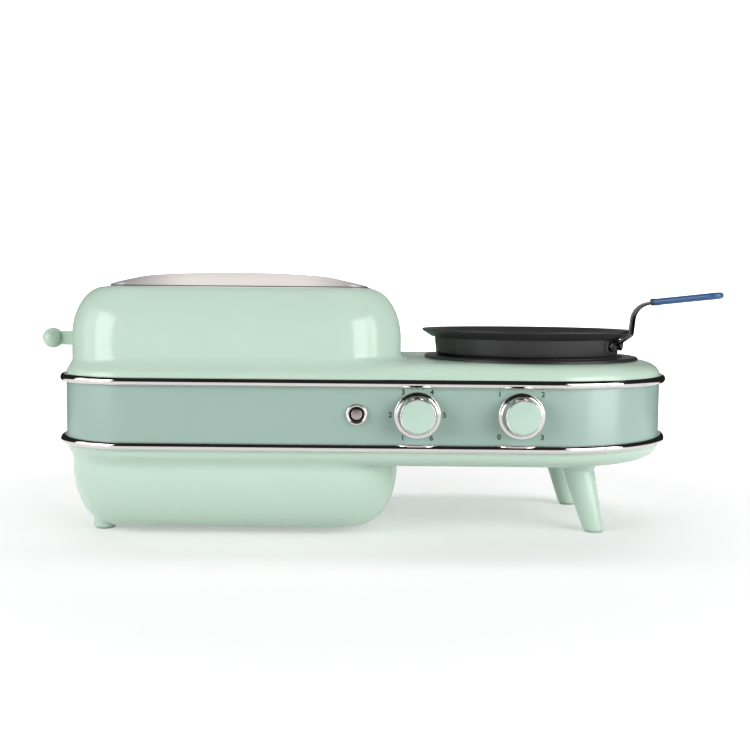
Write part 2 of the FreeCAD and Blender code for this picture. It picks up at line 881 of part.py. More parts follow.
def control_board():
    return block(board_left, board_right, circuit_y, circuit_y + circuit_sheet, board_low, board_high)


def button_bezel():
    # Chrome ring outside the band, with a tube behind it that guides the button
    inner_end = -wall - button_guide
    tube = bezel_inner + bezel_tube
    guide = button_radius + run_gap
    points = [(guide, inner_end), (tube, inner_end), (tube, 0), (bezel_radius, 0),
              (bezel_radius, bezel_proud - bezel_round), (bezel_radius - bezel_round, bezel_proud),
              (bezel_inner + bezel_round, bezel_proud), (bezel_inner, bezel_proud - bezel_round),
              (bezel_inner, -wall), (guide, -wall)]
    return turned_forward(points, cancel_x)


def cancel_switch():
    y0 = band_inner + button_guide + button_press + 2 * plunger_gap
    return block(cancel_x - tact_half, cancel_x + tact_half, y0, circuit_y,
                 control_z - tact_half, control_z + tact_half)


def cancel_button():
    inner = -wall - button_guide - plunger_gap
    points = [(0, inner), (button_radius, inner), (button_radius, button_proud - button_dome),
              (button_radius - button_dome, button_proud), (0, button_proud)]
    return turned_forward(points, cancel_x)


def plate_ring():
    z0, z1 = deck_top, ring_top
    seat = dish_flange + fit_gap
    points = [(dish_radius, dish_top), (seat, dish_top), (seat, z0), (plate_ring_radius, z0),
              (plate_ring_radius, z1 - plate_ring_round), (plate_ring_radius - plate_ring_round, z1),
              (dish_radius, z1)]
    return turned(points, pan_x, 0)


def heat_dish():
    wall_in = dish_radius - dish_sheet
    points = [(0, dish_floor), (dish_radius, dish_floor), (dish_radius, deck_top), (dish_flange, deck_top),
              (dish_flange, dish_top), (wall_in, dish_top), (wall_in, dish_inside), (0, dish_inside)]
    return turned(points, pan_x, 0)


def hot_plate():
    groove = plate_top - plate_groove_depth
    points = [(0, dish_inside), (plate_hub, dish_inside), (plate_hub, plate_low),
              (plate_radius, plate_low), (plate_radius, plate_top)]
    for radius in (plate_groove_out, plate_groove_in):
        points += [(radius + plate_groove_width, plate_top), (radius + plate_groove_width, groove),
                   (radius, groove), (radius, plate_top)]
    points.append((0, plate_top))
    return turned(points, pan_x, 0)


def plate_element():
    # Sheathed heater bent to a ring with a gap, flat where it lies against the plate
    middle = plate_low - element_half
    inner, outer = element_radius - element_half, element_radius + element_half
    sheath = Part.Arc(V(inner, 0, middle), V(element_radius, 0, middle - element_half), V(outer, 0, middle))
    sides = [V(outer, 0, middle), V(outer, 0, plate_low), V(inner, 0, plate_low), V(inner, 0, middle)]
    face = filled([sheath.toShape()] + [line(a, b) for a, b in zip(sides, sides[1:])])
    ring = face.revolve(V(), up, element_turn)
    ring.translate(V(pan_x, 0, 0))
    return ring


def thermostat():
    return post(pan_x - stat_offset, 0, dish_floor - stat_height, dish_floor, stat_radius)


def bent_path(points, radii):
    # Straight runs in one upright plane, joined by tangent arcs
    edges = []
    start = points[0]
    for corner, after, radius in zip(points[1:], points[2:], radii):
        along_in = (corner - start).normalize()
        along_out = (after - corner).normalize()
        turn = along_in.getAngle(along_out)
        reach = radius * math.tan(turn / 2)
        first, last = corner - along_in * reach, corner + along_out * reach
        middle = corner + (along_out - along_in).normalize() * (radius / math.cos(turn / 2) - radius)
        edges += [line(start, first), Part.Arc(first, middle, last).toShape()]
        start = last
    edges.append(line(start, points[-1]))
    return Part.Wire(edges)


def shifted(points, distance):
    # The same corners on lines moved sideways, to the left of their direction in the XZ plane
    lines = []
    for a, b in zip(points, points[1:]):
        along = (b - a).normalize()
        side = V(-along.z, 0, along.x) * distance
        lines.append((a + side, b + side, along))
    moved = [lines[0][0]]
    for (a, _, u), (b, _, w) in zip(lines, lines[1:]):
        cross = u.x * w.z - u.z * w.x
        gap = b - a
        moved.append(a + u * ((gap.x * w.z - gap.z * w.x) / cross))
    return moved + [lines[-1][1]]


def pan_body():
    # Pressed pan: flat base, steep wall and a flared lip, one sheet thick along one bent line
    outer = [V(0, 0, 0), V(pan_base_radius, 0, 0), V(pan_wall_top_radius, 0, pan_wall_height),
             V(pan_lip, 0, pan_wall_height + pan_lip_lift), V(pan_rim_radius, 0, pan_rim_low)]
    inner = shifted(outer, pan_sheet)
    rounds = [pan_foot_round, pan_crease_round, pan_lip_round]
    inner_rounds = [pan_foot_round - pan_sheet, pan_crease_round + pan_sheet, pan_lip_round - pan_sheet]
    under, over = bent_path(outer, rounds), bent_path(inner, inner_rounds)
    face = filled(under.Edges + over.Edges + [line(outer[0], inner[0]), line(outer[-1], inner[-1])])
    pan = face.revolve(V(), up, 360)
    pan.translate(V(pan_stand, 0, plate_top))
    return pan


def at_handle(shape):
    shape.rotate(V(), up, pan_handle_angle)
    shape.translate(V(pan_stand, 0, plate_top))
    return shape


def pan_wall_radius(height):
    # Outer radius of the pan's wall at a height above its base
    return pan_base_radius + height * (pan_wall_top_radius - pan_base_radius) / pan_wall_height


def bracket_form(gap):
    # Band of the wall's own cone, standing gap away from it, over the bracket's width
    z0, z1 = bracket_z, bracket_z + bracket_height
    inner0, inner1 = pan_wall_radius(z0) + gap, pan_wall_radius(z1) + gap
    face = polygon([V(inner0, 0, z0), V(inner0 + bracket_thick, 0, z0), V(inner1 + bracket_thick, 0, z1),
                    V(inner1, 0, z1)])
    spread = math.degrees(bracket_width / pan_wall_radius(z0))
    face.rotate(V(), up, -spread / 2)
    return face.revolve(V(), up, spread)


def rivet_angles():
    spread = math.degrees(rivet_pitch / pan_base_radius)
    return (-spread / 2, spread / 2)


def rivet_barrel(angle, start, end, radius):
    # Round bar square to the sloping wall, between two distances from the wall's outer face
    height = bracket_z + bracket_height / 2
    lean = math.atan2(pan_wall_top_radius - pan_base_radius, pan_wall_height)
    along = V(math.cos(lean), 0, -math.sin(lean))
    seat = V(pan_wall_radius(height), 0, height)
    barrel = Part.makeCylinder(radius, end - start, seat + along * start, along)
    barrel.rotate(V(), up, angle)
    return barrel


def rivet_holes():
    reach = pan_sheet + overrun
    return [rivet_barrel(a, -reach, reach, rivet_radius + run_gap) for a in rivet_angles()]


def pan_with_holes():
    body = pan_body()
    for hole in rivet_holes():
        body = body.cut(at_handle(hole))
    return body


def pan_bracket():
    bracket = bracket_form(bracket_gap)
    for hole in rivet_holes():
        bracket = bracket.cut(hole)
    return at_handle(bracket)


def pan_rivets():
    outside = bracket_gap + bracket_thick + 2 * bracket_gap
    inside = -pan_sheet - 2 * bracket_gap
    tail = inside - rivet_head_high / 2
    rivets = []
    for angle in rivet_angles():
        shank = rivet_barrel(angle, tail, outside, rivet_radius)
        head = rivet_barrel(angle, outside, outside + rivet_head_high, rivet_head)
        foot = rivet_barrel(angle, tail, inside, rivet_head)
        rivets.append(at_handle(shank.multiFuse([head, foot]).removeSplitter()))
    return Part.makeCompound(rivets)


def strap_root():
    # Middle of the bracket's sheet, where the strap's line starts
    return pan_wall_radius(strap_low) + bracket_gap + bracket_thick / 2


def grip_slope():
    return math.atan2(grip_rise, grip_end - grip_start)


def pan_strap():
    grip_tip = grip_end - grip_pocket_end
    tip_z = grip_low_z + (grip_tip - grip_start) * math.tan(grip_slope())
    points = [V(strap_root(), 0, strap_low), V(strap_out, 0, strap_low + strap_lean),
              V(strap_out + strap_top_out, 0, strap_top), V(grip_start, 0, grip_low_z), V(grip_tip, 0, tip_z)]
    bends = [strap_bend, strap_top_bend, strap_grip_bend]
    path = bent_path(points, bends)
    half, thick = strap_width / 2, strap_thick / 2
    start = points[0]
    across = (points[1] - points[0]).normalize().cross(back)
    corners = [start + back * a * half + across * b * thick for a, b in ((-1, -1), (1, -1), (1, 1), (-1, 1))]
    section = Part.makePolygon(corners + corners[:1])
    strap = path.makePipeShell([section], True, False)
    return strap.cut(bracket_form(bracket_gap))


def grip_form():
    length = grip_end - grip_start
    plan = (0, length, grip_width / 2, grip_root_round, grip_width / 2)
    sleeve = prism(plan, 0, -grip_thick / 2, grip_thick / 2)
    rims = [e for e in sleeve.Edges if e.BoundBox.ZLength < run_gap]
    sleeve = sleeve.makeFillet(grip_edge, rims)
    hole = post(length - grip_hole_inset, 0, -grip_thick, grip_thick, grip_hole_radius)
    sleeve = sleeve.cut(hole)
    sleeve.rotate(V(), back, -math.degrees(grip_slope()))
    sleeve.translate(V(grip_start, 0, grip_low_z))
    return sleeve


def pan_grip(strap):
    return at_handle(grip_form().cut(strap))


def leg(side):
    # Tapered leg that leans outwards, with a collar where it meets the tray
    foot = V(leg_x, side * leg_half, 0)
    root = V(leg_top_x, side * leg_top_half, tray_floor)
    lean = root - foot
    taper = (leg_top_radius - leg_bottom_radius) / lean.Length
    length = lean.Length + 2 * overrun
    axis = lean.normalize()
    start_radius = leg_bottom_radius - taper * overrun
    end_radius = leg_top_radius + taper * overrun
    cone = Part.makeCone(start_radius, end_radius, length, foot - axis * overrun, axis)
    collar = post(leg_top_x, side * leg_top_half, tray_floor - collar_height, tray_floor, collar_radius)
    rim = [e for e in collar.Edges if e.BoundBox.ZMax < tray_floor - run_gap]
    collar = collar.makeFillet(collar_height / 2, rim)
    keep = block(body_left, body_right, -half_depth, half_depth, pad_height, tray_floor)
    return cone.fuse(collar).common(keep).removeSplitter()


def foot_pads():
    pads = []
    for x, half in ((leg_x, leg_half), (foot_x, foot_half)):
        for side in (-1, 1):
            lean = (leg_top_x - leg_x) * pad_height / tray_floor if x == leg_x else 0
            pads.append(post(x + lean, side * half, 0, pad_height, pad_radius))
    return Part.makeCompound(pads)


def cord_gland():
    inner_face = half_depth - wall
    y0, y1 = inner_face - gland_inside, half_depth + gland_proud
    body = bar(gland_x, control_z, y0, y1, gland_radius - run_gap)
    flange = bar(gland_x, control_z, half_depth, half_depth + gland_flange_thick, gland_flange)
    nut = bar(gland_x, control_z, inner_face - gland_nut_thick, inner_face, gland_flange)
    solid = body.multiFuse([flange, nut]).removeSplitter()
    return solid.cut(bar(gland_x, control_z, y0 - overrun, y1 + overrun, gland_bore))


def terminal_block():
    floor = tray_floor + wall
    top = floor + terminal_height
    left = gland_x - terminal_length / 2
    front, rear = terminal_y - terminal_depth / 2, terminal_y + terminal_depth / 2
    body = block(left, left + terminal_length, front, rear, floor, top)
    pitch = terminal_length / terminal_ways
    for way in range(terminal_ways):
        x = left + (way + 1 / 2) * pitch
        body = body.cut(post(x, terminal_y, top - terminal_screw_depth, top + overrun, terminal_screw_radius))
    return body


def make_nodes():
    strap = pan_strap()
    outer_board = slot_y + outer_board_gap
    nodes = {
        "upper_housing": upper_housing(),
        "lower_housing": lower_housing(),
        "band_panel": band_panel(),
        "upper_trim": bead(upper_bead_z).cut(lever_cut()),
        "lower_trim": bead(lower_bead_z),
        "toaster_cover": toaster_cover(),
        "cover_frame": cover_frame(),
        "cover_seal": cover_seal(),
        "base_frame": base_frame(),
        "chamber_plate_left": chamber_plate(chamber_left - sheet),
        "chamber_plate_right": chamber_plate(chamber_right),
        "front_heater_board": heater_board(-outer_board),
        "middle_heater_board": heater_board(0),
        "rear_heater_board": heater_board(outer_board),
        "front_heater_ribbon": heater_element(-outer_board, (1,)),
        "middle_heater_ribbon": heater_element(0, (-1, 1)),
        "rear_heater_ribbon": heater_element(outer_board, (-1,)),
        "front_slot_guards": slot_guards(-slot_y),
        "rear_slot_guards": slot_guards(slot_y),
        "guide_rod": guide_rod(),
        "rod_bracket": rod_bracket(),
        "return_spring": return_spring(),
        "latch_magnet": latch_magnet(),
        "lever_ball": lever_ball(),
        "lever_arm": lever_arm(),
        "carriage_slider": carriage_slider(),
        "carriage_plate": carriage_plate(),
        "front_bread_rack": bread_rack(-slot_y),
        "rear_bread_rack": bread_rack(slot_y),
        "latch_keeper": latch_keeper(),
        "crumb_tray": crumb_tray(),
        "base_screws": base_screws(),
        "control_board": control_board(),
        "browning_control": control_body(browning_x, dial_body_radius),
        "heat_switch": control_body(heat_x, switch_body_radius),
        "cancel_switch": cancel_switch(),
        "button_bezel": button_bezel(),
        "cancel_button": cancel_button(),
        "hot_plate_ring": plate_ring(),
        "heat_dish": heat_dish(),
        "hot_plate": hot_plate(),
        "plate_element": plate_element(),
        "thermostat": thermostat(),
        "pan_body": pan_with_holes(),
        "pan_bracket": pan_bracket(),
        "pan_rivets": pan_rivets(),
        "pan_grip": pan_grip(strap),
        "pan_strap": at_handle(strap),
        "front_leg": leg(-1),
        "rear_leg": leg(1),
        "foot_pads": foot_pads(),
        "cord_gland": cord_gland(),
        "terminal_block": terminal_block(),
    }
    for name, x in (("browning", browning_x), ("heat", heat_x)):
        nodes[name + "_knob_skirt"] = knob_skirt_ring(x)
        nodes[name + "_knob_cap"] = knob_cap(x)
        nodes[name + "_knob_shaft"] = knob_shaft(x)
    return nodes


def middle_of(nodes):
    # Middle of the whole object's box in plan, where the origin stands
    box = FreeCAD.BoundBox()
    for shape in nodes.values():
        box.add(shape.optimalBoundingBox(False, False))
    return V((box.XMin + box.XMax) / 2, (box.YMin + box.YMax) / 2, 0)


nodes = make_nodes()
origin = middle_of(nodes)
os.makedirs("parts", exist_ok=True)
for name, shape in nodes.items():
    shape.translate(origin * -1)
    shape.exportStep("parts/" + name + ".step")
print("pieces", len(nodes), "origin", origin)
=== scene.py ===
import bpy
import bmesh
import json
import math
import numpy as np
from mathutils import Matrix, Vector


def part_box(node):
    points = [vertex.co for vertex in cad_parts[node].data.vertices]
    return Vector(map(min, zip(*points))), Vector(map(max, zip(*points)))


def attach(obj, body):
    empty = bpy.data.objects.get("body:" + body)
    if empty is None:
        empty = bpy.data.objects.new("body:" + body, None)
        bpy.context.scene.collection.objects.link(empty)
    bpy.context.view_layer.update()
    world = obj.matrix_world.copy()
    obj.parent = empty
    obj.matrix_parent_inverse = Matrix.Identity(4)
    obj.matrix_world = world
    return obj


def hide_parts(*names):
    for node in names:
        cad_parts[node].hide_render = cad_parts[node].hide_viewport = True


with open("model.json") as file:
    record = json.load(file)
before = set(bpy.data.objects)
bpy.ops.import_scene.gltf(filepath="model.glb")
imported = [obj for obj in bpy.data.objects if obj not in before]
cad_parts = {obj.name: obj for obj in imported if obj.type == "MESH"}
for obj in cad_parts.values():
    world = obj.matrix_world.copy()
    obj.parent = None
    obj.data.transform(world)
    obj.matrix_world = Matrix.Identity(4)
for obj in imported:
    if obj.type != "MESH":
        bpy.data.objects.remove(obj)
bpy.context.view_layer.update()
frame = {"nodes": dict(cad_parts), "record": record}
scene = bpy.context.scene
scene.view_settings.view_transform = "Standard"
print("frame loaded:", len(frame["nodes"]), "nodes")

# Shapes are worked out in millimetres about the middle of the control band, and stored in metres in the frame
mm = 0.001
bandLow, bandHigh = (np.array(corner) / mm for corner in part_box("band_panel"))
bodyMid = np.append((bandLow + bandHigh)[:2] / 2, 0)


def nodeBox(node):
    # Lowest and highest corner of a CAD node, in the shapes' own millimetres
    return [np.array(corner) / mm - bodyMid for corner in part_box(node)]


def columns(*values):
    # Points from their coordinates. A single number serves every point
    return np.stack(np.broadcast_arrays(*values), -1)


def gridFaces(rows, cols, wrapRows=False, wrapCols=True):
    # Quads of a grid whose points are numbered row by row
    r = np.arange(rows if wrapRows else rows - 1)[:, None]
    c = np.arange(cols if wrapCols else cols - 1)[None, :]
    down, right = (r + 1) % rows, (c + 1) % cols
    quads = columns(r * cols + c, r * cols + right, down * cols + right, down * cols + c)
    return quads.reshape(-1, 4).tolist()


def surface(grid, wrapRows=False, lids=False):
    # Points and faces of a grid (rows, columns, 3) that is round in its columns, with flat lids where asked
    rows, cols = grid.shape[:2]
    faces = gridFaces(rows, cols, wrapRows)
    if lids:
        faces += [list(range(cols))[::-1], list(range((rows - 1) * cols, rows * cols))]
    return grid.reshape(-1, 3), faces


def joined(*shapes):
    # Several closed shapes as one list of points and faces
    points, faces, start = [], [], 0
    for part, partFaces in shapes:
        points.append(part)
        faces += [[i + start for i in face] for face in partFaces]
        start += len(part)
    return np.concatenate(points), faces


def pointsOf(mesh):
    # All points of a mesh as one array
    co = np.empty(len(mesh.vertices) * 3)
    mesh.vertices.foreach_get("co", co)
    return co.reshape(-1, 3)


def signedVolume(mesh):
    # Sum of the signed tetrahedra from the middle of the mesh to its triangles
    mesh.calc_loop_triangles()
    corners = np.empty(len(mesh.loop_triangles) * 3, int)
    mesh.loop_triangles.foreach_get("vertices", corners)
    co = pointsOf(mesh)
    a, b, c = np.moveaxis((co - co.mean(0))[corners.reshape(-1, 3)], 1, 0)
    return np.einsum("ij,ij->i", a, np.cross(b, c)).sum()


def shadeByAngle(mesh, degrees):
    # Smooth shading, sharp where two faces turn by more than the angle
    mesh.polygons.foreach_set("use_smooth", np.ones(len(mesh.polygons), bool))
    mesh.set_sharp_from_angle(angle=math.radians(degrees))


def newMesh(name, shape, weld=False):
    # Mesh from points and faces, faces turned outwards, poles and seams welded where asked
    points, faces = shape
    mesh = bpy.data.meshes.new(name)
    mesh.from_pydata(((points + bodyMid) * mm).tolist(), [], faces)
    if weld:
        bm = bmesh.new()
        bm.from_mesh(mesh)
        bmesh.ops.remove_doubles(bm, verts=bm.verts, dist=1e-7)
        bmesh.ops.dissolve_degenerate(bm, edges=bm.edges, dist=1e-8)
        bm.to_mesh(mesh)
        bm.free()
    if signedVolume(mesh) < 0:
        mesh.flip_normals()
    mesh.update()
    return mesh


def linked(name, data):
    # A new object at the origin with a mesh, curve, light or camera
    obj = bpy.data.objects.new(name, data)
    scene.collection.objects.link(obj)
    return obj


def built(name, shape, weld=False):
    # A new object from points and faces
    return linked(name, newMesh(name, shape, weld))


def meshOf(obj):
    # The object's shape with its modifiers or curve settings applied, as a new mesh
    return bpy.data.meshes.new_from_object(obj.evaluated_get(bpy.context.evaluated_depsgraph_get()))


def carved(obj, cutters, operation="DIFFERENCE"):
    # Cuts closed shapes out of a piece, or joins them to it, and keeps the result in its mesh
    for cutter in cutters:
        tool = built("cutter", cutter)
        boolean = obj.modifiers.new("cut", "BOOLEAN")
        boolean.operation = operation
        boolean.solver = "EXACT"
        boolean.object = tool
        result = meshOf(obj)
        obj.modifiers.clear()
        old, obj.data = obj.data, result
        bpy.data.meshes.remove(old)
        bpy.data.meshes.remove(tool.data)
    obj.data.name = obj.name
    return obj


def dress(obj, slot, body, nodes=(), finish=None, sharp=32):
    # Last steps for every new piece: finish, shading, the body it moves with and the nodes it stands for
    obj.data.materials.clear()
    obj.data.materials.append(finishes[finish or slot])
    shadeByAngle(obj.data, sharp)
    obj.visible_diffuse = slot != "chrome_trim"  # bright metal throws no light on the paint beside it
    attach(obj, body)
    if nodes:
        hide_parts(*nodes)
    return obj


def piece(name, shape, slot, body, nodes=(), finish=None, weld=False, sharp=32):
    # One new piece, from its points and faces to its place in the frame
    return dress(built(name, shape, weld), slot, body, nodes, finish, sharp)


def softLine(corners, steps=6, closed=True):
    # Polyline (a, b) through corners (a, b, radius): each corner becomes an arc tangent to its two sides
    pts = np.array([c[:2] for c in corners], float)
    out = []
    count = len(pts)
    for i, radius in enumerate(c[2] for c in corners):
        here = pts[i]
        if radius <= 0 or (not closed and i in (0, count - 1)):
            out.append(here[None])
            continue
        to, on = pts[i - 1] - here, pts[(i + 1) % count] - here
        to, on = to / np.linalg.norm(to), on / np.linalg.norm(on)
        half = math.acos(np.clip(to @ on, -1, 1)) / 2
        centre = here + (to + on) / np.linalg.norm(to + on) * radius / math.sin(half)
        reach = radius / math.tan(half)
        first, last = here + to * reach - centre, here + on * reach - centre
        turn = math.pi - 2 * half
        t = np.linspace(0, 1, steps + 1)[:, None]
        out.append(centre + (np.sin((1 - t) * turn) * first + np.sin(t * turn) * last) / math.sin(turn))
    return np.concatenate(out)


def spun(profile, middle, axis=(0, 0, 1), steps=96, closed=True):
    # Solid of revolution: (radius, along) turned about an axis through the middle
    along = np.array(axis, float) / np.linalg.norm(axis)
    side = np.cross(along, (1, 0, 0) if abs(along[0]) < 0.9 else (0, 1, 0))
    side /= np.linalg.norm(side)
    turn = np.linspace(0, 2 * np.pi, steps, endpoint=False)[:, None]
    ring = np.cos(turn) * side + np.sin(turn) * np.cross(along, side)
    profile = np.asarray(profile, float)[:, :, None, None]
    grid = np.array(middle, float) + profile[:, 0] * ring + profile[:, 1] * along
    return surface(grid, wrapRows=closed, lids=not closed)


def drilled(radius, middle, axis, reach=8.0):
    # Round bar for cutting a hole
    return spun([(radius, -reach), (radius, reach)], middle, axis, closed=False)


def swept(section, path, across):
    # A closed section (across, up) carried along a bent line whose sideways direction stays the same
    run = np.gradient(path, axis=0)
    run /= np.linalg.norm(run, axis=1, keepdims=True)
    lift = np.cross(run, across)
    grid = path[:, None] + section[None, :, :1] * across + section[None, :, 1:] * lift[:, None]
    return surface(grid, lids=True)


def pillow(plan, profile, **steps):
    # A flat rounded plan with an edge profile (inset, height), closed by level lids
    return surface(carried(profile, plan, **steps), lids=True)


def placed(shape, matrix):
    # The same shape turned and moved by a matrix
    matrix = np.array(matrix)
    return shape[0] @ matrix[:3, :3].T + matrix[:3, 3], shape[1]


def roundedBox(width, height, radius, steps=4):
    # Closed outline of a rounded rectangle about zero
    w, h = width / 2, height / 2
    return softLine([(-w, -h, radius), (w, -h, radius), (w, h, radius), (-w, h, radius)], steps)


def middleOf(node):
    # Middle of a CAD node's box
    return sum(nodeBox(node)) / 2


def planOutline(plan, cornerSteps=24, sideStep=9.0):
    # Rounded plan, anticlockwise from its front right corner: points and their outward directions
    left, right, half, leftRound, rightRound = plan
    leftMid, rightMid = left + leftRound, right - rightRound
    centres = [(rightMid, rightRound - half, rightRound), (rightMid, half - rightRound, rightRound),
               (leftMid, half - leftRound, leftRound), (leftMid, leftRound - half, leftRound)]
    points, normals = [], []
    for k, (x, y, r) in enumerate(centres):
        angle = np.linspace(k - 1, k, cornerSteps + 1) * np.pi / 2
        spoke = columns(np.cos(angle), np.sin(angle))
        points.append(np.array([x, y]) + r * spoke)
        normals.append(spoke)
    allPoints, allNormals = [], []
    for k in range(4):
        start, end = points[k][-1], points[(k + 1) % 4][0]
        run = np.linalg.norm(end - start)
        joins = run <= 1e-6  # two corners that meet share a point
        t = np.linspace(0, 1, max(int(run / sideStep), 1) + 1)[1:-1, None]
        t = t[:0] if joins else t
        corner = points[k][:-1] if joins else points[k]
        allPoints += [corner, start + t * (end - start)]
        allNormals += [normals[k][:len(corner)], np.repeat(normals[k][-1:], len(t), 0)]
    return np.concatenate(allPoints), np.concatenate(allNormals)


def carried(profile, plan, **steps):
    # A closed section (distance in from the outline, height) carried round a rounded plan
    points, normals = planOutline(plan, **steps)
    level = points[None] - normals[None] * profile[:, None, :1]
    return columns(level[..., 0], level[..., 1], profile[:, 1:])


def stacked(rows):
    # Grid of points from rows of level places and their heights
    return np.stack([columns(*level.T, height) for level, height in rows])


def softEdge(half, soft, steps):
    # Edge profile of a slab: a flat side with a quarter circle above and below
    turn = np.linspace(-np.pi / 2, np.pi / 2, steps)
    return columns(soft - soft * np.cos(turn), (half - soft) * np.sign(turn) + soft * np.sin(turn))


def slotPlan(low, high, width):
    # Plan of a slot with round ends
    half = width / 2
    return low, high, half, half - 0.01, half - 0.01


def postLine(radius, low, high, soft):
    # Profile of a round post with a soft lower edge
    return softLine([(0.01, low, 0), (radius, low, soft), (radius, high, 0), (0.01, high, 0)], closed=False)


def block(low, high):
    # Plain box for cutting, from two corners
    x, y, z = zip(low, high)
    ring = [(x[0], y[0]), (x[1], y[0]), (x[1], y[1]), (x[0], y[1])]
    return surface(np.array([[(a, b, h) for a, b in ring] for h in z], float), lids=True)


# Sizes that several pieces share: the band's own, then the wall and the height of a bead
bodyLeft, frontY, bandZ0 = bandLow - bodyMid
bodyRight, rearY, bandZ1 = bandHigh - bodyMid
halfDepth = rearY
wall, beadHigh = 2.4, 5.2
bodyPlan = (bodyLeft, bodyRight, halfDepth, 53.0, halfDepth)
plateX = middleOf("hot_plate")[0]

# Materials. Each effect that several finishes share is a node group with its own inputs


def effectGroup(name, inputs, outputs):
    # An empty node group with named outputs, and inputs with their first values
    group = bpy.data.node_groups.new(name, "ShaderNodeTree")
    for label, value in inputs.items():
        socket = group.interface.new_socket(label, in_out="INPUT", socket_type="NodeSocketFloat")
        socket.default_value = value
    for label in outputs:
        group.interface.new_socket(label, in_out="OUTPUT", socket_type="NodeSocketFloat")
    return group, group.nodes.new("NodeGroupInput"), group.nodes.new("NodeGroupOutput")


def addNode(tree, kind, links=(), **values):
    # One node with its settings: names of sockets in links, settings and socket values in values
    node = tree.nodes.new("ShaderNode" + kind)
    for key, value in values.items():
        if hasattr(node, key):
            setattr(node, key, value)
        else:
            node.inputs[key].default_value = value
    for key, source in links:
        tree.links.new(source, node.inputs[key])
    return node


def mathNode(tree, operation, *sources):
    # One operation on linked values
    return addNode(tree, "Math", list(enumerate(sources)), operation=operation).outputs[0]


def mapped(tree, value, start, end, low, high, smooth=False):
    # A value carried from the range start to end over to the range low to high
    kind = "SMOOTHSTEP" if smooth else "LINEAR"
    node = addNode(tree, "MapRange", [("Value", value)], interpolation_type=kind)
    for key, number in zip(("From Min", "From Max", "To Min", "To Max"), (start, end, low, high)):
        node.inputs[key].default_value = number
    return node.outputs["Result"]


def makeGrainGroup():
    # Fine cloudy relief of a moulded or coated skin, with a soft mask for tone and gloss
    group, source, sink = effectGroup("mouldedSkin", {"Grain": 900.0, "Cloud": 22.0}, ("Height", "Mask"))
    place = addNode(group, "TexCoord").outputs["Object"]
    for scale, detail, result in (("Grain", 3.0, "Height"), ("Cloud", 4.0, "Mask")):
        links = [("Vector", place), ("Scale", source.outputs[scale])]
        noise = addNode(group, "TexNoise", links, Detail=detail)
        group.links.new(noise.outputs["Fac"], sink.inputs[result])
    return group


def makeBrushGroup():
    # Long fine streaks along X, as left by a brushing belt, and a slow change of tone across them
    inputs = {"Fineness": 1400.0, "Length": 6.0}
    group, source, sink = effectGroup("brushedStreaks", inputs, ("Height", "Tone"))
    place = addNode(group, "TexCoord").outputs["Object"]
    split = addNode(group, "SeparateXYZ", [("Vector", place)])
    stretched = addNode(group, "CombineXYZ")
    for axis, factor in (("X", "Length"), ("Y", "Fineness"), ("Z", "Fineness")):
        scaled = mathNode(group, "MULTIPLY", split.outputs[axis], source.outputs[factor])
        group.links.new(scaled, stretched.inputs[axis])
    vector = [("Vector", stretched.outputs[0])]
    streak = addNode(group, "TexNoise", vector, Scale=1.0, Detail=4.0, Roughness=0.7)
    tone = addNode(group, "TexNoise", vector, Scale=0.12, Detail=2.0)
    group.links.new(streak.outputs["Fac"], sink.inputs["Height"])
    group.links.new(tone.outputs["Fac"], sink.inputs["Tone"])
    return group


grainGroup, brushGroup = makeGrainGroup(), makeBrushGroup()


def shader(name, color, rough, metal=0.0, **sockets):
    # A material and its Principled BSDF, set to even values
    material = bpy.data.materials.new(name)
    material.use_nodes = True
    tree = material.node_tree
    bsdf = tree.nodes["Principled BSDF"]
    bsdf.inputs["Base Color"].default_value = (*color, 1)
    bsdf.inputs["Roughness"].default_value = rough
    bsdf.inputs["Metallic"].default_value = metal
    for key, value in sockets.items():
        bsdf.inputs[key].default_value = value
    return material, tree, bsdf


def tinted(tree, mask, low, high):
    # Colour that moves between two close tones with a mask
    mix = addNode(tree, "Mix", data_type="RGBA")
    mix.inputs[6].default_value, mix.inputs[7].default_value = (*low, 1), (*high, 1)
    tree.links.new(mask, mix.inputs[0])
    return mix.outputs[2]


reliefDepth = 0.0002  # metres
maskMiddle = (0.3, 0.7)  # the stretch of a noise mask that is used


def textured(parts, effect, toneMask, glossMask, color, rough, spread, relief, shift):
    # Close tones, slightly uneven gloss and a very fine relief, each from a mask of one effect
    material, tree, bsdf = parts
    tones = [[min(c * (1 + way * shift), 1) for c in color] for way in (-1, 1)]
    gloss = mapped(tree, effect.outputs[glossMask], *maskMiddle, rough - spread, rough + spread)
    height = [("Height", effect.outputs["Height"])]
    bump = addNode(tree, "Bump", height, Strength=relief, Distance=reliefDepth)
    tree.links.new(tinted(tree, effect.outputs[toneMask], *tones), bsdf.inputs["Base Color"])
    tree.links.new(gloss, bsdf.inputs["Roughness"])
    tree.links.new(bump.outputs["Normal"], bsdf.inputs["Normal"])
    return material


def skinFinish(name, color, rough, spread=0.04, grain=900.0, cloud=22.0, relief=0.02, shift=0.03, **sockets):
    # Moulded or painted skin
    parts = shader(name, color, rough, **sockets)
    skin = addNode(parts[1], "Group", node_tree=grainGroup, Grain=grain, Cloud=cloud)
    return textured(parts, skin, "Mask", "Mask", color, rough, spread, relief, shift)


def metalFinish(name, color, rough, spread=0.06, fineness=1400.0, relief=0.03, shift=0.06, metal=1.0):
    # Sheet or bar metal with streaks from its rolling, brushing or polishing
    parts = shader(name, color, rough, metal)
    brush = addNode(parts[1], "Group", node_tree=brushGroup, Fineness=fineness)
    return textured(parts, brush, "Tone", "Height", color, rough, spread, relief, shift)


# Painted highlight and painted shade on the cover: where the highlight is centred, and where the shade at the
# ends starts and where it is full
coverPaintedSheen = {"middle": 0.54, "ends": (0.20, 0.50)}  # shares of the cover's length


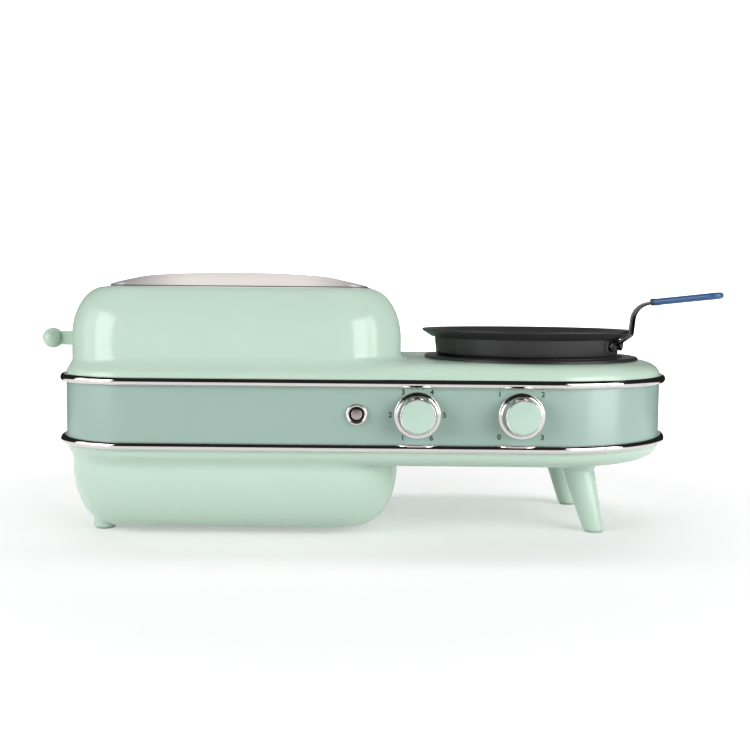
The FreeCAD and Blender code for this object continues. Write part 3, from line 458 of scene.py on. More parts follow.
def coverFinishAndPaintedSheen(name, color, paintedShadeColor, rough):
    # Brushed sheet with painted light: a painted highlight keeps it palest over the middle of the toaster,
    # and painted shade makes it greyer towards its two ends
    material = metalFinish(name, color, rough, spread=0.08, relief=0.05, metal=0.2)
    tree = material.node_tree
    low, high = (corner[0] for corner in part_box("toaster_cover"))
    near, far = (share * (high - low) for share in coverPaintedSheen["ends"])
    place = addNode(tree, "TexCoord").outputs["Object"]
    across = addNode(tree, "SeparateXYZ", [("Vector", place)]).outputs["X"]
    offset = addNode(tree, "Math", [(0, across)], operation="SUBTRACT")
    offset.inputs[1].default_value = low + coverPaintedSheen["middle"] * (high - low)
    away = mathNode(tree, "ABSOLUTE", offset.outputs[0])
    base = tree.nodes["Principled BSDF"].inputs["Base Color"]
    # Painted shade: away from the middle the colour moves to the grey of the ends
    mix = addNode(tree, "Mix", data_type="RGBA")
    mix.inputs[7].default_value = (*paintedShadeColor, 1)
    tree.links.new(base.links[0].from_socket, mix.inputs[6])
    tree.links.new(mapped(tree, away, near, far, 0, 1, smooth=True), mix.inputs[0])
    tree.links.new(mix.outputs[2], base)
    return material


dull = {"Specular IOR Level": 0.3}
finishes = {
    "mint_shell": skinFinish("mintShell", (0.575, 0.745, 0.625), 0.19, relief=0.012, shift=0.012),
    "cap_mint": skinFinish("capMint", (0.53, 0.71, 0.61), 0.21, relief=0.012, shift=0.012),
    "band_green": skinFinish("bandPaint", (0.352, 0.497, 0.445), 0.20, 0.03, relief=0.015, shift=0.015),
    "chrome_trim": metalFinish("brightChrome", (0.74, 0.70, 0.695), 0.07, 0.02, relief=0.004, shift=0.02),
    # The cover's pale colour is a painted highlight, and its grey end colour is painted shade
    "cover_steel": coverFinishAndPaintedSheen("brushedCoverPaintedSheen", (0.97, 0.88, 0.855), (0.38, 0.36, 0.37), 0.38),
    "button_metal": metalFinish("buttonFace", (0.47, 0.415, 0.42), 0.34),
    "sheet_steel": metalFinish("plainSheet", (0.60, 0.60, 0.61), 0.36, relief=0.03),
    "bright_steel": metalFinish("polishedSteel", (0.55, 0.55, 0.56), 0.20, fineness=700.0),
    "handle_steel": metalFinish("handleSteel", (0.055, 0.055, 0.058), 0.20, spread=0.05, fineness=900.0),
    "mica_board": skinFinish("micaBoard", (0.60, 0.50, 0.36), 0.55, grain=260.0, cloud=90.0, relief=0.15,
                             shift=0.15),
    "heater_alloy": metalFinish("heaterAlloy", (0.30, 0.27, 0.25), 0.45, fineness=600.0),
    "black_seal": skinFinish("sealRubber", (0.02, 0.02, 0.02), 0.62, relief=0.1),
    "black_plastic": skinFinish("blackMoulding", (0.022, 0.022, 0.024), 0.42, relief=0.1),
    "pale_plastic": skinFinish("paleMoulding", (0.72, 0.70, 0.64), 0.45, relief=0.06),
    "circuit_green": skinFinish("circuitMask", (0.03, 0.20, 0.09), 0.35, cloud=60.0, shift=0.2),
    "copper_winding": metalFinish("copperWinding", (0.62, 0.30, 0.15), 0.35, fineness=500.0),
    "black_enamel": skinFinish("ringEnamel", (0.026, 0.027, 0.026), 0.34, grain=500.0, relief=0.03, **dull),
    "cast_plate": skinFinish("castPlate", (0.03, 0.03, 0.032), 0.55, grain=420.0, relief=0.25),
    "pan_coating": skinFinish("panCoating", (0.037, 0.036, 0.037), 0.36, grain=1300.0, cloud=30.0,
                              relief=0.12, shift=0.12, **dull),
    "blue_grip": skinFinish("blueSleeve", (0.036, 0.112, 0.285), 0.33, grain=420.0, cloud=60.0, relief=0.08,
                            shift=0.10),
    "pad_rubber": skinFinish("padRubber", (0.42, 0.47, 0.44), 0.7, relief=0.2),
    "dial_ink": skinFinish("dialInk", (0.012, 0.022, 0.02), 0.5),
}
print("finishes made:", len(finishes))

for part in frame["record"]["subparts"]:
    node = frame["nodes"][part["node"]]
    node.data.materials.clear()
    node.data.materials.append(finishes[part["material_slot"]])

# Upper and lower housing: one stepped shell each, a rim form with a taller form that rises out of it

coverLow, coverHigh = nodeBox("toaster_cover")
crumbLow, crumbHigh = nodeBox("crumb_tray")
screwLow, screwHigh = nodeBox("base_screws")
# Plans: left, right, half depth, left and right corners. leverSlot: width, low, high. footPost: radius, low,
# high, soft edge. vents: count, pitch, distance from the plate's middle, width, length
housing = {
    "upper": {"out": 16.5, "rise": 9.8, "plan": (bodyLeft + 4.0, 22.0, halfDepth - 7.2, 45.8, 46.0),
              "edgeOut": 23.5, "edgeRise": 36.0, "foot": 6.0, "edge": bandZ1 + beadHigh, "level": 122.4,
              "end": 173.3},
    "lower": {"out": 14.0, "rise": 11.2, "plan": (bodyLeft + 4.0, 20.0, halfDepth - 7.2, 45.8, 46.0),
              "edgeOut": 24.5, "edgeRise": 41.0, "foot": 5.0, "edge": bandZ0 - beadHigh, "level": 51.8,
              "end": 4.6},
    "mouth": (coverLow[0] + 5.0, coverHigh[0] - 5.0, coverHigh[1] - 5.0, 11.0, 11.0), "deckHole": 72.0,
    "innerFoot": 2.0, "footShare": 0.85, "rimShare": 0.9, "leverSlot": (6.0, 82.65, 141.15),
    "slotReach": (-8.0, 14.0), "footPost": (8.2, 1.6, 12.6, 0.8), "footPlace": (-190.0, 51.0),
    "crumbGap": 0.6, "crumbReach": (16.0, 4.0), "railInset": 17.0, "railHalf": 1.5, "railEnd": 24.0,
    "boss": 5.0, "bossLift": 12.0, "screw": 3.6, "vents": (7, 9.0, 10.0, 3.0, 40.0), "ventReach": 4.0,
}


def insideDepth(points, plan):
    # Distance in from a rounded plan's outline: the rounded box distance, with its own radius at each end
    left, right, half, leftRound, rightRound = plan
    x, y = points[..., 0] - (left + right) / 2, points[..., 1]
    r = np.where(x > 0, rightRound, leftRound)
    qx, qy = np.abs(x) - (right - left) / 2 + r, np.abs(y) - half + r
    outside = np.hypot(np.maximum(qx, 0), np.maximum(qy, 0))
    return r - outside - np.minimum(np.maximum(qx, qy), 0)


def pairedOutline(plan, turnX, sideSteps=10, cornerSteps=36, runSteps=26, wrapSteps=170):
    # A rounded plan sampled so that equal columns of two plans face each other. Left side, left corners and
    # long sides as far as turnX share their directions. The wrap round the right end goes by its length
    left, right, half, leftRound, rightRound = plan
    leftMid, side = left + leftRound, half - leftRound
    angle = np.linspace(np.pi, 1.5 * np.pi, cornerSteps + 1)
    corner = columns(np.cos(angle), np.sin(angle))
    sideY = -np.linspace(0, side, sideSteps + 1)[:-1]
    runX = np.linspace(leftMid, turnX, runSteps + 1)[1:]
    points = [columns(left, sideY), (leftMid, -side) + leftRound * corner, columns(runX, -half)]
    normals = [np.tile([-1.0, 0.0], (sideSteps, 1)), corner, np.tile([0.0, -1.0], (runSteps, 1))]
    straight, arc, end = right - rightRound - turnX, rightRound * np.pi / 2, half - rightRound
    along = np.linspace(0, straight + arc + end, wrapSteps + 1)[1:]
    bend = np.clip((along - straight) / rightRound, 0, np.pi / 2)
    x = turnX + np.minimum(along, straight) + rightRound * np.sin(bend)
    y = -half + rightRound * (1 - np.cos(bend)) + np.maximum(along - straight - arc, 0)
    points.append(columns(x, y))
    normals.append(columns(np.sin(bend), -np.cos(bend)))
    nearHalf = np.concatenate(points), np.concatenate(normals)
    return [np.concatenate([line, line[-2:0:-1] * (1.0, -1.0)]) for line in nearHalf]


def steppedSkin(size, inset, foot, mouth, rimRows=14, footRows=10, edgeRows=22):
    # Rows of one skin, from its open edge over the rim, up the fillet and the wall and round the upper edge.
    # Rim and upper edge are quarter ellipses: height = spring + rise * sqrt(1 - ((out - d) / out)^2)
    way = 1 if size["end"] > size["edge"] else -1
    turnX = size["plan"][1] - size["plan"][4]
    base, baseOut = pairedOutline(bodyPlan, turnX)
    tall, tallOut = pairedOutline(size["plan"], turnX)
    tall = tall - tallOut * inset
    spring, rise, out = size["level"] - way * size["rise"], size["rise"] - inset, size["out"] - inset

    def rimHeight(depth):
        share = np.clip((size["out"] - depth) / out, 0, 1)
        return spring + way * rise * np.sqrt(1 - share ** 2)

    # Fillet and rim give way where the two forms come close
    foot = np.minimum(foot, housing["footShare"] * insideDepth(tall, bodyPlan))[:, None]
    room = insideDepth(tall + tallOut * foot, bodyPlan) - inset
    reach = np.minimum(size["out"], inset + housing["rimShare"] * room)[:, None]
    rows = [(base - baseOut * inset, size["edge"])]
    for t in np.linspace(0, 1, rimRows):
        depth = inset + (reach - inset) * t ** 2
        rows.append((base - baseOut * depth, rimHeight(depth[:, 0])))
    for turn in np.linspace(0, np.pi / 2, footRows):
        level = tall + tallOut * foot * (1 - math.sin(turn))
        lift = way * foot[:, 0] * (1 - math.cos(turn))
        rows.append((level, rimHeight(insideDepth(level, bodyPlan)) + lift))
    edgeSpring, edgeOut = size["end"] - way * size["edgeRise"], size["edgeOut"] - inset
    for turn in np.linspace(0, np.pi / 2, edgeRows):
        height = edgeSpring + way * (size["edgeRise"] - inset) * math.sin(turn)
        rows.append((tall - tallOut * edgeOut * (1 - math.cos(turn)), height))
    if mouth:
        rim = pairedOutline(mouth, mouth[1] - mouth[3])[0]
        rows.append((rim, size["end"] - way * inset))
    return stacked(rows)


def bothSkins(size, mouth=None):
    # The outer skin, and the inner skin one wall further in
    feet = (0.0, size["foot"]), (wall, housing["innerFoot"])
    return [steppedSkin(size, inset, foot, mouth) for inset, foot in feet]


def makeUpperHousing():
    # Both skins closed into one shell, less the round opening in the deck and the lever's slot
    size = housing["upper"]
    outer, inner = bothSkins(size, housing["mouth"])
    obj = built("upperHousing", surface(np.concatenate([outer, inner[::-1]]), wrapRows=True))
    return carved(obj, [drilled(housing["deckHole"], (plateX, 0, size["level"]), (0, 0, 1)), leverSlot()])


def leverSlot():
    # Slot with round ends in the left end of the body, as a bar along X
    width, low, high = housing["leverSlot"]
    points = planOutline(slotPlan(low, high, width), cornerSteps=10)[0]
    ring = columns(0, points[:, 1], points[:, 0])
    return surface(np.stack([ring + (bodyLeft + end, 0, 0) for end in housing["slotReach"]]), lids=True)


def innerPosts(floor):
    # What rises from the lower housing: two feet, two rails for the crumb tray and four screw bosses
    x, y = housing["footPlace"]
    line = postLine(*housing["footPost"])
    posts = [spun(line, (x, side * y, 0), closed=False, steps=64) for side in (-1, 1)]
    inset, thick = housing["railInset"], housing["railHalf"]
    half = housing["lower"]["plan"][2] - wall - housing["railEnd"]
    posts += [block((x - thick, -half, floor), (x + thick, half, crumbLow[2]))
              for x in (crumbLow[0] + inset, crumbHigh[0] - inset)]
    radius, screw = housing["boss"], housing["screw"]
    line = [(radius, floor + housing["bossLift"]), (radius, nodeBox("base_frame")[0][2])]
    posts += [spun(line, (x, y, 0), steps=32, closed=False)
              for x in (screwLow[0] + screw, screwHigh[0] - screw)
              for y in (screwLow[1] + screw, screwHigh[1] - screw)]
    return posts


def makeLowerHousing():
    # Both skins with level floors, plus the posts, less the vents and the crumb tray's opening
    size = housing["lower"]
    outer, inner = bothSkins(size)
    obj = built("lowerHousing", surface(np.concatenate([outer[::-1], inner]), lids=True))
    carved(obj, innerPosts(size["end"] + wall / 2), "UNION")
    count, pitch, offset, width, length = housing["vents"]
    under, over = size["level"] - housing["ventReach"], size["level"] + wall + housing["ventReach"]
    rows = carried(np.array([(0, under), (0, over)]), slotPlan(-length / 2, length / 2, width), cornerSteps=8)
    slots = []
    for i in range(count):
        x = plateX - offset + (i - (count - 1) / 2) * pitch
        slots.append(surface(columns(x + rows[..., 1], rows[..., 0], rows[..., 2]), lids=True))
    gap, reach = housing["crumbGap"], housing["crumbReach"]
    tray = block((crumbLow[0] - gap, halfDepth - reach[0], crumbLow[2] - gap),
                 (crumbHigh[0] + gap, halfDepth + reach[1], crumbHigh[2] + gap))
    return carved(obj, slots + [tray])


upperHousing = dress(makeUpperHousing(), "mint_shell", "housing", ["upper_housing"])
lowerHousing = dress(makeLowerHousing(), "mint_shell", "housing", ["lower_housing"])
print("housings:", len(upperHousing.data.polygons), len(lowerHousing.data.polygons), "faces")

# Control band with its holes, and the bright beads along its two edges

front, rear = (0, -1, 0), (0, 1, 0)
controlZ = middleOf("browning_knob_cap")[2]
browningX, heatX, buttonX, glandX = (
    middleOf(node)[0] for node in ("browning_knob_cap", "heat_knob_cap", "cancel_button", "cord_gland"))
band = {"shaftHole": 4.2, "bezelHole": 6.2, "glandHole": 6.5, "post": 3.0, "postInset": 4.5, "beadProud": 4.2}


def makeBand():
    # A strip one wall thick carried round the body, plus posts for the board, less the holes
    section = np.array([(0, bandZ0), (0, bandZ1), (wall, bandZ1), (wall, bandZ0)])
    obj = built("bandPanel", surface(carried(section, bodyPlan, cornerSteps=40), wrapRows=True))
    low, high = nodeBox("control_board")
    start, inset = frontY + wall / 2, band["postInset"]
    line = [(band["post"], 0), (band["post"], low[1] - start)]
    posts = [spun(line, (x, start, z), rear, 32, False)
             for x in (low[0] + inset, high[0] - inset) for z in (low[2] + inset, high[2] - inset)]
    carved(obj, posts, "UNION")
    holes = [drilled(band["shaftHole"], (x, frontY, controlZ), front) for x in (browningX, heatX)]
    holes += [drilled(band["bezelHole"], (buttonX, frontY, controlZ), front),
              drilled(band["glandHole"], (glandX, rearY, controlZ), rear), leverSlot()]
    return carved(obj, holes)


def makeBead(name, level):
    # Bead section: a circle arc through both edges of the band and the nose, flat behind
    half, proud = beadHigh / 2, band["beadProud"]
    radius = (half ** 2 + proud ** 2) / (2 * proud)
    limit = math.acos(proud / radius - 1)
    turn = np.linspace(limit, 2 * np.pi - limit, 41)
    nose = columns(radius - proud + radius * np.cos(turn), level + radius * np.sin(turn))
    section = np.concatenate([nose, [(wall, level - half), (wall, level + half)]])
    return built(name, surface(carried(section, bodyPlan, cornerSteps=48), wrapRows=True))


dress(makeBand(), "band_green", "housing", ["band_panel"])
upperBead = carved(makeBead("upperBead", bandZ1 + beadHigh / 2), [leverSlot()])
dress(upperBead, "chrome_trim", "housing", ["upper_trim"], sharp=40)
dress(makeBead("lowerBead", bandZ0 - beadHigh / 2), "chrome_trim", "housing", ["lower_trim"], sharp=40)
print("band and beads ready")

# Toaster cover: a brushed sheet arched along X with a rolled rim and two bread slots, on a seal and a foot

# flank: length and height of the end slopes. slotHalf: half length, half width. lip: inset, top, foot.
# cutter: reach under the cover, flare, reach over it
cover = {"x": (coverLow[0] + coverHigh[0]) / 2, "half": (coverHigh[0] - coverLow[0]) / 2, "low": coverLow[2],
         "rise": coverHigh[2] - coverLow[2], "crown": 810.0, "endRise": 0.5, "flank": (28.0, 6.9),
         "blend": 0.5, "round": 16.0, "edge": 5.2, "edgeShare": 0.85, "edgeLeast": 0.2, "sheet": 1.0,
         "inner": 14.0, "innerRows": (0.3, 0.6, 1.0), "lineRows": (0.12, 0.3, 0.5, 0.75, 1.0),
         "lineShare": 0.45, "slotY": 30.0, "slotHalf": (65.5, 15.0), "slotRound": 9.0, "roll": 1.3,
         "rollTurn": 76.0, "lip": (1.0, -0.5, 1.0), "cutter": (6.0, 1.2, 8.0), "ledge": 5.0}
coverPlan = (coverLow[0], coverHigh[0], coverHigh[1], cover["round"], cover["round"])


def archHeight(x, inset=0.0):
    # Flat arch a = rise - u^2 / (2 R) and end slopes b, joined by their soft minimum
    # (a + b - sqrt((a - b)^2 + k^2)) / 2
    u = np.abs(x - cover["x"])
    length, high = cover["flank"]
    arch = cover["rise"] - u ** 2 / (2 * cover["crown"])
    slope = cover["endRise"] + (cover["half"] - u) * (high - cover["endRise"]) / length
    soft = (arch + slope - np.sqrt((arch - slope) ** 2 + cover["blend"] ** 2)) / 2
    return cover["low"] + soft - inset


def coverSkin(inset):
    # Rows from the foot over the rolled rim, level with the arch, and in to the middle line
    base, out = planOutline(coverPlan, cornerSteps=16, sideStep=4.0)
    rise = archHeight(base[:, 0]) - cover["low"]
    rim = np.minimum(cover["edge"], cover["edgeShare"] * rise) - inset
    rim = np.maximum(rim, cover["edgeLeast"])[:, None]
    rows = [(base - out * inset, cover["low"])]
    for turn in np.linspace(0, np.pi / 2, 10):
        at = base - out * (inset + rim * (1 - math.cos(turn)))
        rows.append((at, archHeight(at[:, 0], inset) - rim[:, 0] * (1 - math.sin(turn))))
    level = [base - out * (inset + rim + (cover["inner"] - inset - rim) * t) for t in cover["innerRows"]]
    edge = level[-1]
    line = columns(cover["x"] + (edge[:, 0] - cover["x"]) * cover["lineShare"], 0)
    level += [edge + (line - edge) * t for t in cover["lineRows"]]
    return stacked(rows + [(at, archHeight(at[:, 0], inset)) for at in level])


def slotRows(rows, y):
    # Rows (inset, lift or None, fixed height) round one bread slot; a lift is measured from the arch
    length, half = cover["slotHalf"]
    plan = (cover["x"] - length, cover["x"] + length, half, cover["slotRound"], cover["slotRound"])
    base, out = planOutline(plan, cornerSteps=12, sideStep=5.0)
    grid = []
    for inset, lift, height in rows:
        at = base - out * inset
        z = height if lift is None else archHeight(at[:, 0]) + lift
        grid.append((at + (0, y), z))
    return stacked(grid)


def makeCover():
    # Two skins welded along the middle line. Each slot gets a wall turned down and a rolled edge
    skin = np.concatenate([coverSkin(0.0)[::-1], coverSkin(cover["sheet"])])
    obj = built("toasterCover", surface(skin), weld=True)
    low, sheet, roll = cover["low"], cover["sheet"], cover["roll"]
    lipIn, lipTop, lipLow = cover["lip"]
    lipLow += low
    sleeve = [(-sheet, None, lipLow), (-sheet, lipTop, 0), (lipIn, lipTop, 0), (lipIn, None, lipLow)]
    turn = np.radians(np.linspace(0, cover["rollTurn"], 7))
    bend = [(-roll * (1 - math.cos(a)), -roll * (1 - math.sin(a)), 0) for a in turn]
    under, flare, over = cover["cutter"]
    cutter = [(0, None, low - under), *bend, (bend[-1][0] - flare, None, low + cover["rise"] + over)]
    for y in (-cover["slotY"], cover["slotY"]):
        carved(obj, [surface(slotRows(sleeve, y), wrapRows=True)], "UNION")
        carved(obj, [surface(slotRows(cutter, y), lids=True)])
    return obj


def coverFrame(node, soft):
    # Flat frame under the edge of the cover, with the outline and the height of its node
    low, high = nodeBox(node)
    inset, ledge = low[0] - coverLow[0], cover["ledge"]
    line = softLine([(inset, low[2], 0), (inset, high[2], soft), (ledge, high[2], 0), (ledge, low[2], 0)])
    return surface(carried(line, coverPlan), wrapRows=True)


dress(makeCover(), "cover_steel", "housing", ["toaster_cover"], sharp=38)
# The foot wears the cover's finish, with its painted highlight over the middle and painted shade at the ends
piece("coverFoot", coverFrame("cover_frame", 0.3), "chrome_trim", "housing", ["cover_frame"], "cover_steel")
piece("coverSeal", coverFrame("cover_seal", 0), "black_seal", "housing", ["cover_seal"])
print("cover ready")

# Hot plate: black surround and cast plate with two grooves

plate = {"ring": 80.0, "ringInner": 69.0, "ringRound": 1.4, "seat": 78.2, "dish": 0.8, "radius": 66.0,
         "hub": 18.0, "thick": 6.0, "grooves": ((56.0, 54.0), (32.0, 30.0)), "grooveDepth": 0.8}
deckTop, ringTop = (corner[2] for corner in nodeBox("hot_plate_ring"))
hubLow, plateTop = (corner[2] for corner in nodeBox("hot_plate"))


def ringLine():
    # Profile (radius, height): a flat band that steps down at its outer edge
    under, inner, outer, seat = deckTop + plate["dish"], plate["ringInner"], plate["ring"], plate["seat"]
    return softLine([(inner, under, 0.2), (seat, under, 0), (seat, deckTop, 0), (outer, deckTop, 0.2),
                     (outer, ringTop, plate["ringRound"]), (inner, ringTop, 0.8)])


def plateLine():
    # Profile (radius, height): a hub below, a flat top and square grooves in it
    low, bed = plateTop - plate["thick"], plateTop - plate["grooveDepth"]
    hub, radius = plate["hub"], plate["radius"]
    line = [(0, hubLow, 0), (hub, hubLow, 0.6), (hub, low, 0.6), (radius, low, 0.6), (radius, plateTop, 0.7)]
    for far, near in plate["grooves"]:
        line += [(far, plateTop, 0.25), (far, bed, 0.25), (near, bed, 0.25), (near, plateTop, 0.25)]
    return softLine(line + [(0, plateTop, 0)], steps=4)


plateMid = (plateX, 0, 0)
piece("plateRing", spun(ringLine(), plateMid, steps=144), "black_enamel", "housing", ["hot_plate_ring"])
piece("castPlate", spun(plateLine(), plateMid, steps=128), "cast_plate", "housing", ["hot_plate"], weld=True)

# Pan: one pressed sheet with a flared lip, bracket, rivets, a bent strap and a dipped sleeve

panX = middleOf("pan_body")[0]
# base: radius, corner. wallTop, lip: radius, height, corner. bracket: width, low, height, thickness, gap.
# rivets: spread, shank, head, height. strapLine: out, up, bend. grip: length, width, thickness, root corners.
# hole: radius, distance from the tip. collar: start, end, width, thickness
pan = {"turn": -33.0, "sheet": 1.8, "base": (68.0, 2.4), "wallTop": (69.4, 13.0, 0.4),
       "lip": (71.9, 13.3, 2.4), "rim": (79.4, 18.2), "bracket": (26.0, 4.9, 7.6, 2.4, 0.15),
       "bracketSoft": 0.7, "rivets": (17.0, 2.0, 3.8, 1.6), "rivetCup": (0.6, 0.55, 0.45),
       "rivetHole": (0.05, 6.0), "strap": (8.0, 2.0, 0.55),
       "strapLine": ((81.9, 16.6, 3.5), (84.0, 37.0, 13.0), (97.8, 40.2, 9.0)), "strapFoot": (9.3, 0.02),
       "grip": (48.1, 15.0, 4.4, 3.2), "gripSoft": 2.0, "gripEnd": (145.9, 45.4), "hole": (2.6, 8.5),
       "holeSoft": (0.9, 0.8), "pocket": 16.0, "collar": (-0.2, 2.6, 15.4, 4.9),
       "collarSoft": (1.9, 0.3, 0.94)}
handle = Matrix.Translation((panX, 0, plateTop)) @ Matrix.Rotation(math.radians(pan["turn"]), 4, "Z")


def turning(u, w):
    # Cross product of two directions in a plane: the sine of the turn between them
    return u[0] * w[1] - u[1] * w[0]


def shiftedLine(corners, distance):
    # The same corners on lines moved to the left of their run, with each radius changed to stay parallel
    pts = np.array([c[:2] for c in corners])
    run = np.diff(pts, axis=0)
    run /= np.linalg.norm(run, axis=1, keepdims=True)
    side = columns(-run[:, 1], run[:, 0]) * distance
    moved = [pts[0] + side[0]]
    for i in range(1, len(run)):
        u, w, start = run[i - 1], run[i], pts[i - 1] + side[i - 1]
        moved.append(start + u * turning(pts[i] + side[i] - start, w) / turning(u, w))
    moved.append(pts[-1] + side[-1])
    bends = np.sign([0] + [turning(u, w) for u, w in zip(run, run[1:])] + [0])
    return [(*at, max(c[2] - bend * distance, 0.2) if c[2] else 0)
            for at, c, bend in zip(moved, corners, bends)]


def panWall(height):
    # Radius of the wall, which is a cone, at a height over the pan's base
    return pan["base"][0] + height * (pan["wallTop"][0] - pan["base"][0]) / pan["wallTop"][1]


def makePanLine():
    # Underside, round nose of the rim and upper side of one sheet
    sheet, half = pan["sheet"], pan["sheet"] / 2
    under = [(0, 0, 0), (pan["base"][0], 0, pan["base"][1]), pan["wallTop"], pan["lip"], (*pan["rim"], 0)]
    outer, inner = (softLine(line, 8, closed=False) for line in (under, shiftedLine(under, sheet)))
    inner[0, 0] = 0
    edge = (outer[-1] + inner[-1]) / 2
    turn = np.linspace(-np.pi / 2, np.pi / 2, 9)[1:-1, None]
    slope = (outer[-1] - outer[-2]) / np.linalg.norm(outer[-1] - outer[-2])
    nose = np.cos(turn) * slope + np.sin(turn) * (inner[-1] - outer[-1]) / sheet
    nose = edge - slope * half + half * nose
    outer[-1], inner[-1] = outer[-1] - slope * half, inner[-1] - slope * half
    return np.concatenate([outer, nose, inner[::-1]])


def rivetPlaces():
    # Seat and direction of each rivet, square to the sloping wall
    low, height = pan["bracket"][1:3]
    lean = math.atan2(pan["wallTop"][0] - pan["base"][0], pan["wallTop"][1])
    at = low + height / 2
    for side in (-0.5, 0.5):
        turn = Matrix.Rotation(side * pan["rivets"][0] / pan["base"][0], 4, "Z")
        yield turn @ Matrix.Translation((panWall(at), 0, at)) @ Matrix.Rotation(lean, 4, "Y")


def rivetShapes(profile):
    # One turned profile at each rivet's place
    shape = spun(profile, (0, 0, 0), (1, 0, 0), steps=40)
    return [placed(shape, handle @ place) for place in rivetPlaces()]


def rivetHoles():
    # Bars a little wider than the shanks, for cutting
    gap, reach = pan["rivetHole"]
    hole = pan["rivets"][1] + gap
    return rivetShapes([(0.01, -reach), (hole, -reach), (hole, reach), (0.01, reach)])


def makePanBody():
    # The sheet's profile turned about the pan's axis, less the holes for the rivets
    shape = spun(makePanLine(), (panX, 0, plateTop), steps=192)
    return carved(built("panBody", shape, weld=True), rivetHoles())


def makeBracket():
    # A band of the wall's own cone with soft edges, carried round the pan
    width, low, height, thick, gap = pan["bracket"]
    section = roundedBox(thick, height, pan["bracketSoft"])
    turn = np.linspace(-0.5, 0.5, 25)[:, None] * width / panWall(low)
    up = section[None, :, 1] + low + height / 2
    out = section[None, :, 0] + thick / 2 + gap + panWall(up)
    grid = columns(out * np.cos(turn), out * np.sin(turn), up)
    return carved(built("panBracket", placed(surface(grid, lids=True), handle)), rivetHoles())


def makeRivets():
    # Flat head inside the pan, hollow head outside the bracket
    shank, head, high = pan["rivets"][1:]
    thick, gap = pan["bracket"][3:]
    outside, inside = 3 * gap + thick, -pan["sheet"] - 2 * gap
    deep, wide, narrow = pan["rivetCup"]
    tail, top, bed = inside - high / 2, outside + high, outside + high * deep
    line = softLine([(0, tail, 0), (head, tail, 0.5), (head, inside, 0.1), (shank, inside, 0),
                     (shank, outside, 0), (head, outside, 0.2), (head, top, 1.1), (head * wide, top, 0.3),
                     (head * narrow, bed, 0.3), (0, bed, 0)])
    return joined(*rivetShapes(line))


def makeStrap():
    # A flat bar with soft edges swept along a bent line, from the bracket into the sleeve
    width, thick, soft = pan["strap"]
    foot, gap = pan["strapFoot"]
    root = panWall(foot) + pan["bracket"][4] + pan["bracket"][3] + gap
    start, end = pan["strapLine"][-1], pan["gripEnd"]
    slope = (end[1] - start[1]) / (end[0] - start[0])
    tip = end[0] - pan["pocket"]
    corners = [(root, foot, 0), *pan["strapLine"], (tip, start[1] + (tip - start[0]) * slope, 0)]
    line = softLine(corners, 12, closed=False)
    path = columns(line[:, 0], 0, line[:, 1])
    return placed(swept(roundedBox(width, thick, soft), path, np.array([0.0, 1.0, 0.0])), handle)


def gripPlace():
    # Root of the sleeve, with X along it
    end, start = pan["gripEnd"], pan["strapLine"][-1]
    slope = math.atan2(end[1] - start[1], end[0] - start[0])
    return handle @ Matrix.Translation((start[0], 0, start[1])) @ Matrix.Rotation(-slope, 4, "Y")


def makeCollar():
    # Short dark band round the root of the sleeve
    low, high, width, thick = pan["collar"]
    radius, soft, share = pan["collarSoft"]
    path = np.array([(x, 0, 0) for x in (low, low + soft, high - soft, high)])
    section = roundedBox(width, thick, radius)
    scale = np.array([share, 1, 1, share])[:, None, None]
    grid = path[:, None] + columns(0, *section.T) * scale
    return placed(surface(grid, lids=True), gripPlace())


def makeGrip():
    # Sleeve with a rounded tip and a hanging hole, softened all round its edge
    length, width, thick, root = pan["grip"]
    plan, place = (0, length, width / 2, root, width / 2), gripPlace()
    shape = pillow(plan, softEdge(thick / 2, pan["gripSoft"], 17), cornerSteps=14, sideStep=4.0)
    radius, inset = pan["hole"]
    soft, flare = pan["holeSoft"]
    turn = np.linspace(0, np.pi / 2, 6)[:-1]
    rim = [(radius + soft * (1 - math.cos(a)), thick / 2 - soft + soft * math.sin(a)) for a in turn]
    wide = rim[-1][0] + flare
    line = [(wide, -thick), *((r, -z) for r, z in rim[::-1]), *rim, (wide, thick)]
    hole = placed(spun(line, (length - inset, 0, 0), steps=48, closed=False), place)
    return carved(built("panGrip", placed(shape, place)), [hole])


dress(makePanBody(), "pan_coating", "pan", ["pan_body"])
dress(makeBracket(), "bright_steel", "pan", ["pan_bracket"])
piece("panRivets", makeRivets(), "bright_steel", "pan", ["pan_rivets"], "handle_steel", weld=True)
piece("panStrap", makeStrap(), "bright_steel", "pan", ["pan_strap"], "handle_steel")
dress(makeGrip(), "blue_grip", "pan", ["pan_grip"], sharp=40)
piece("gripCollar", makeCollar(), "black_plastic", "pan")
print("pan ready")

# Controls: two stepped knobs with mint caps, and a small button in a bright ring

knob = {"radius": 15.6, "gap": 0.5, "skirt": 4.0, "shoulder": 1.7, "depth": 14.5, "face": 11.8, "cap": 11.0,
        "capDepth": 3.0, "capGap": 0.03, "seatGap": 0.02, "crown": 0.8, "shell": 1.6, "shaft": 3.0,
        "boss": 6.0}
button = {"outer": 7.2, "inner": 5.3, "proud": 2.4, "soft": 0.8, "tube": 6.15, "guide": 3.75, "deep": 8.4,
          "radius": 3.7, "rise": 1.4, "dome": (0.6, 0.25, 0.35), "plunger": 8.7, "well": (1.2, -0.8, 0.5),
          "wellGap": (0.05, 0.02)}


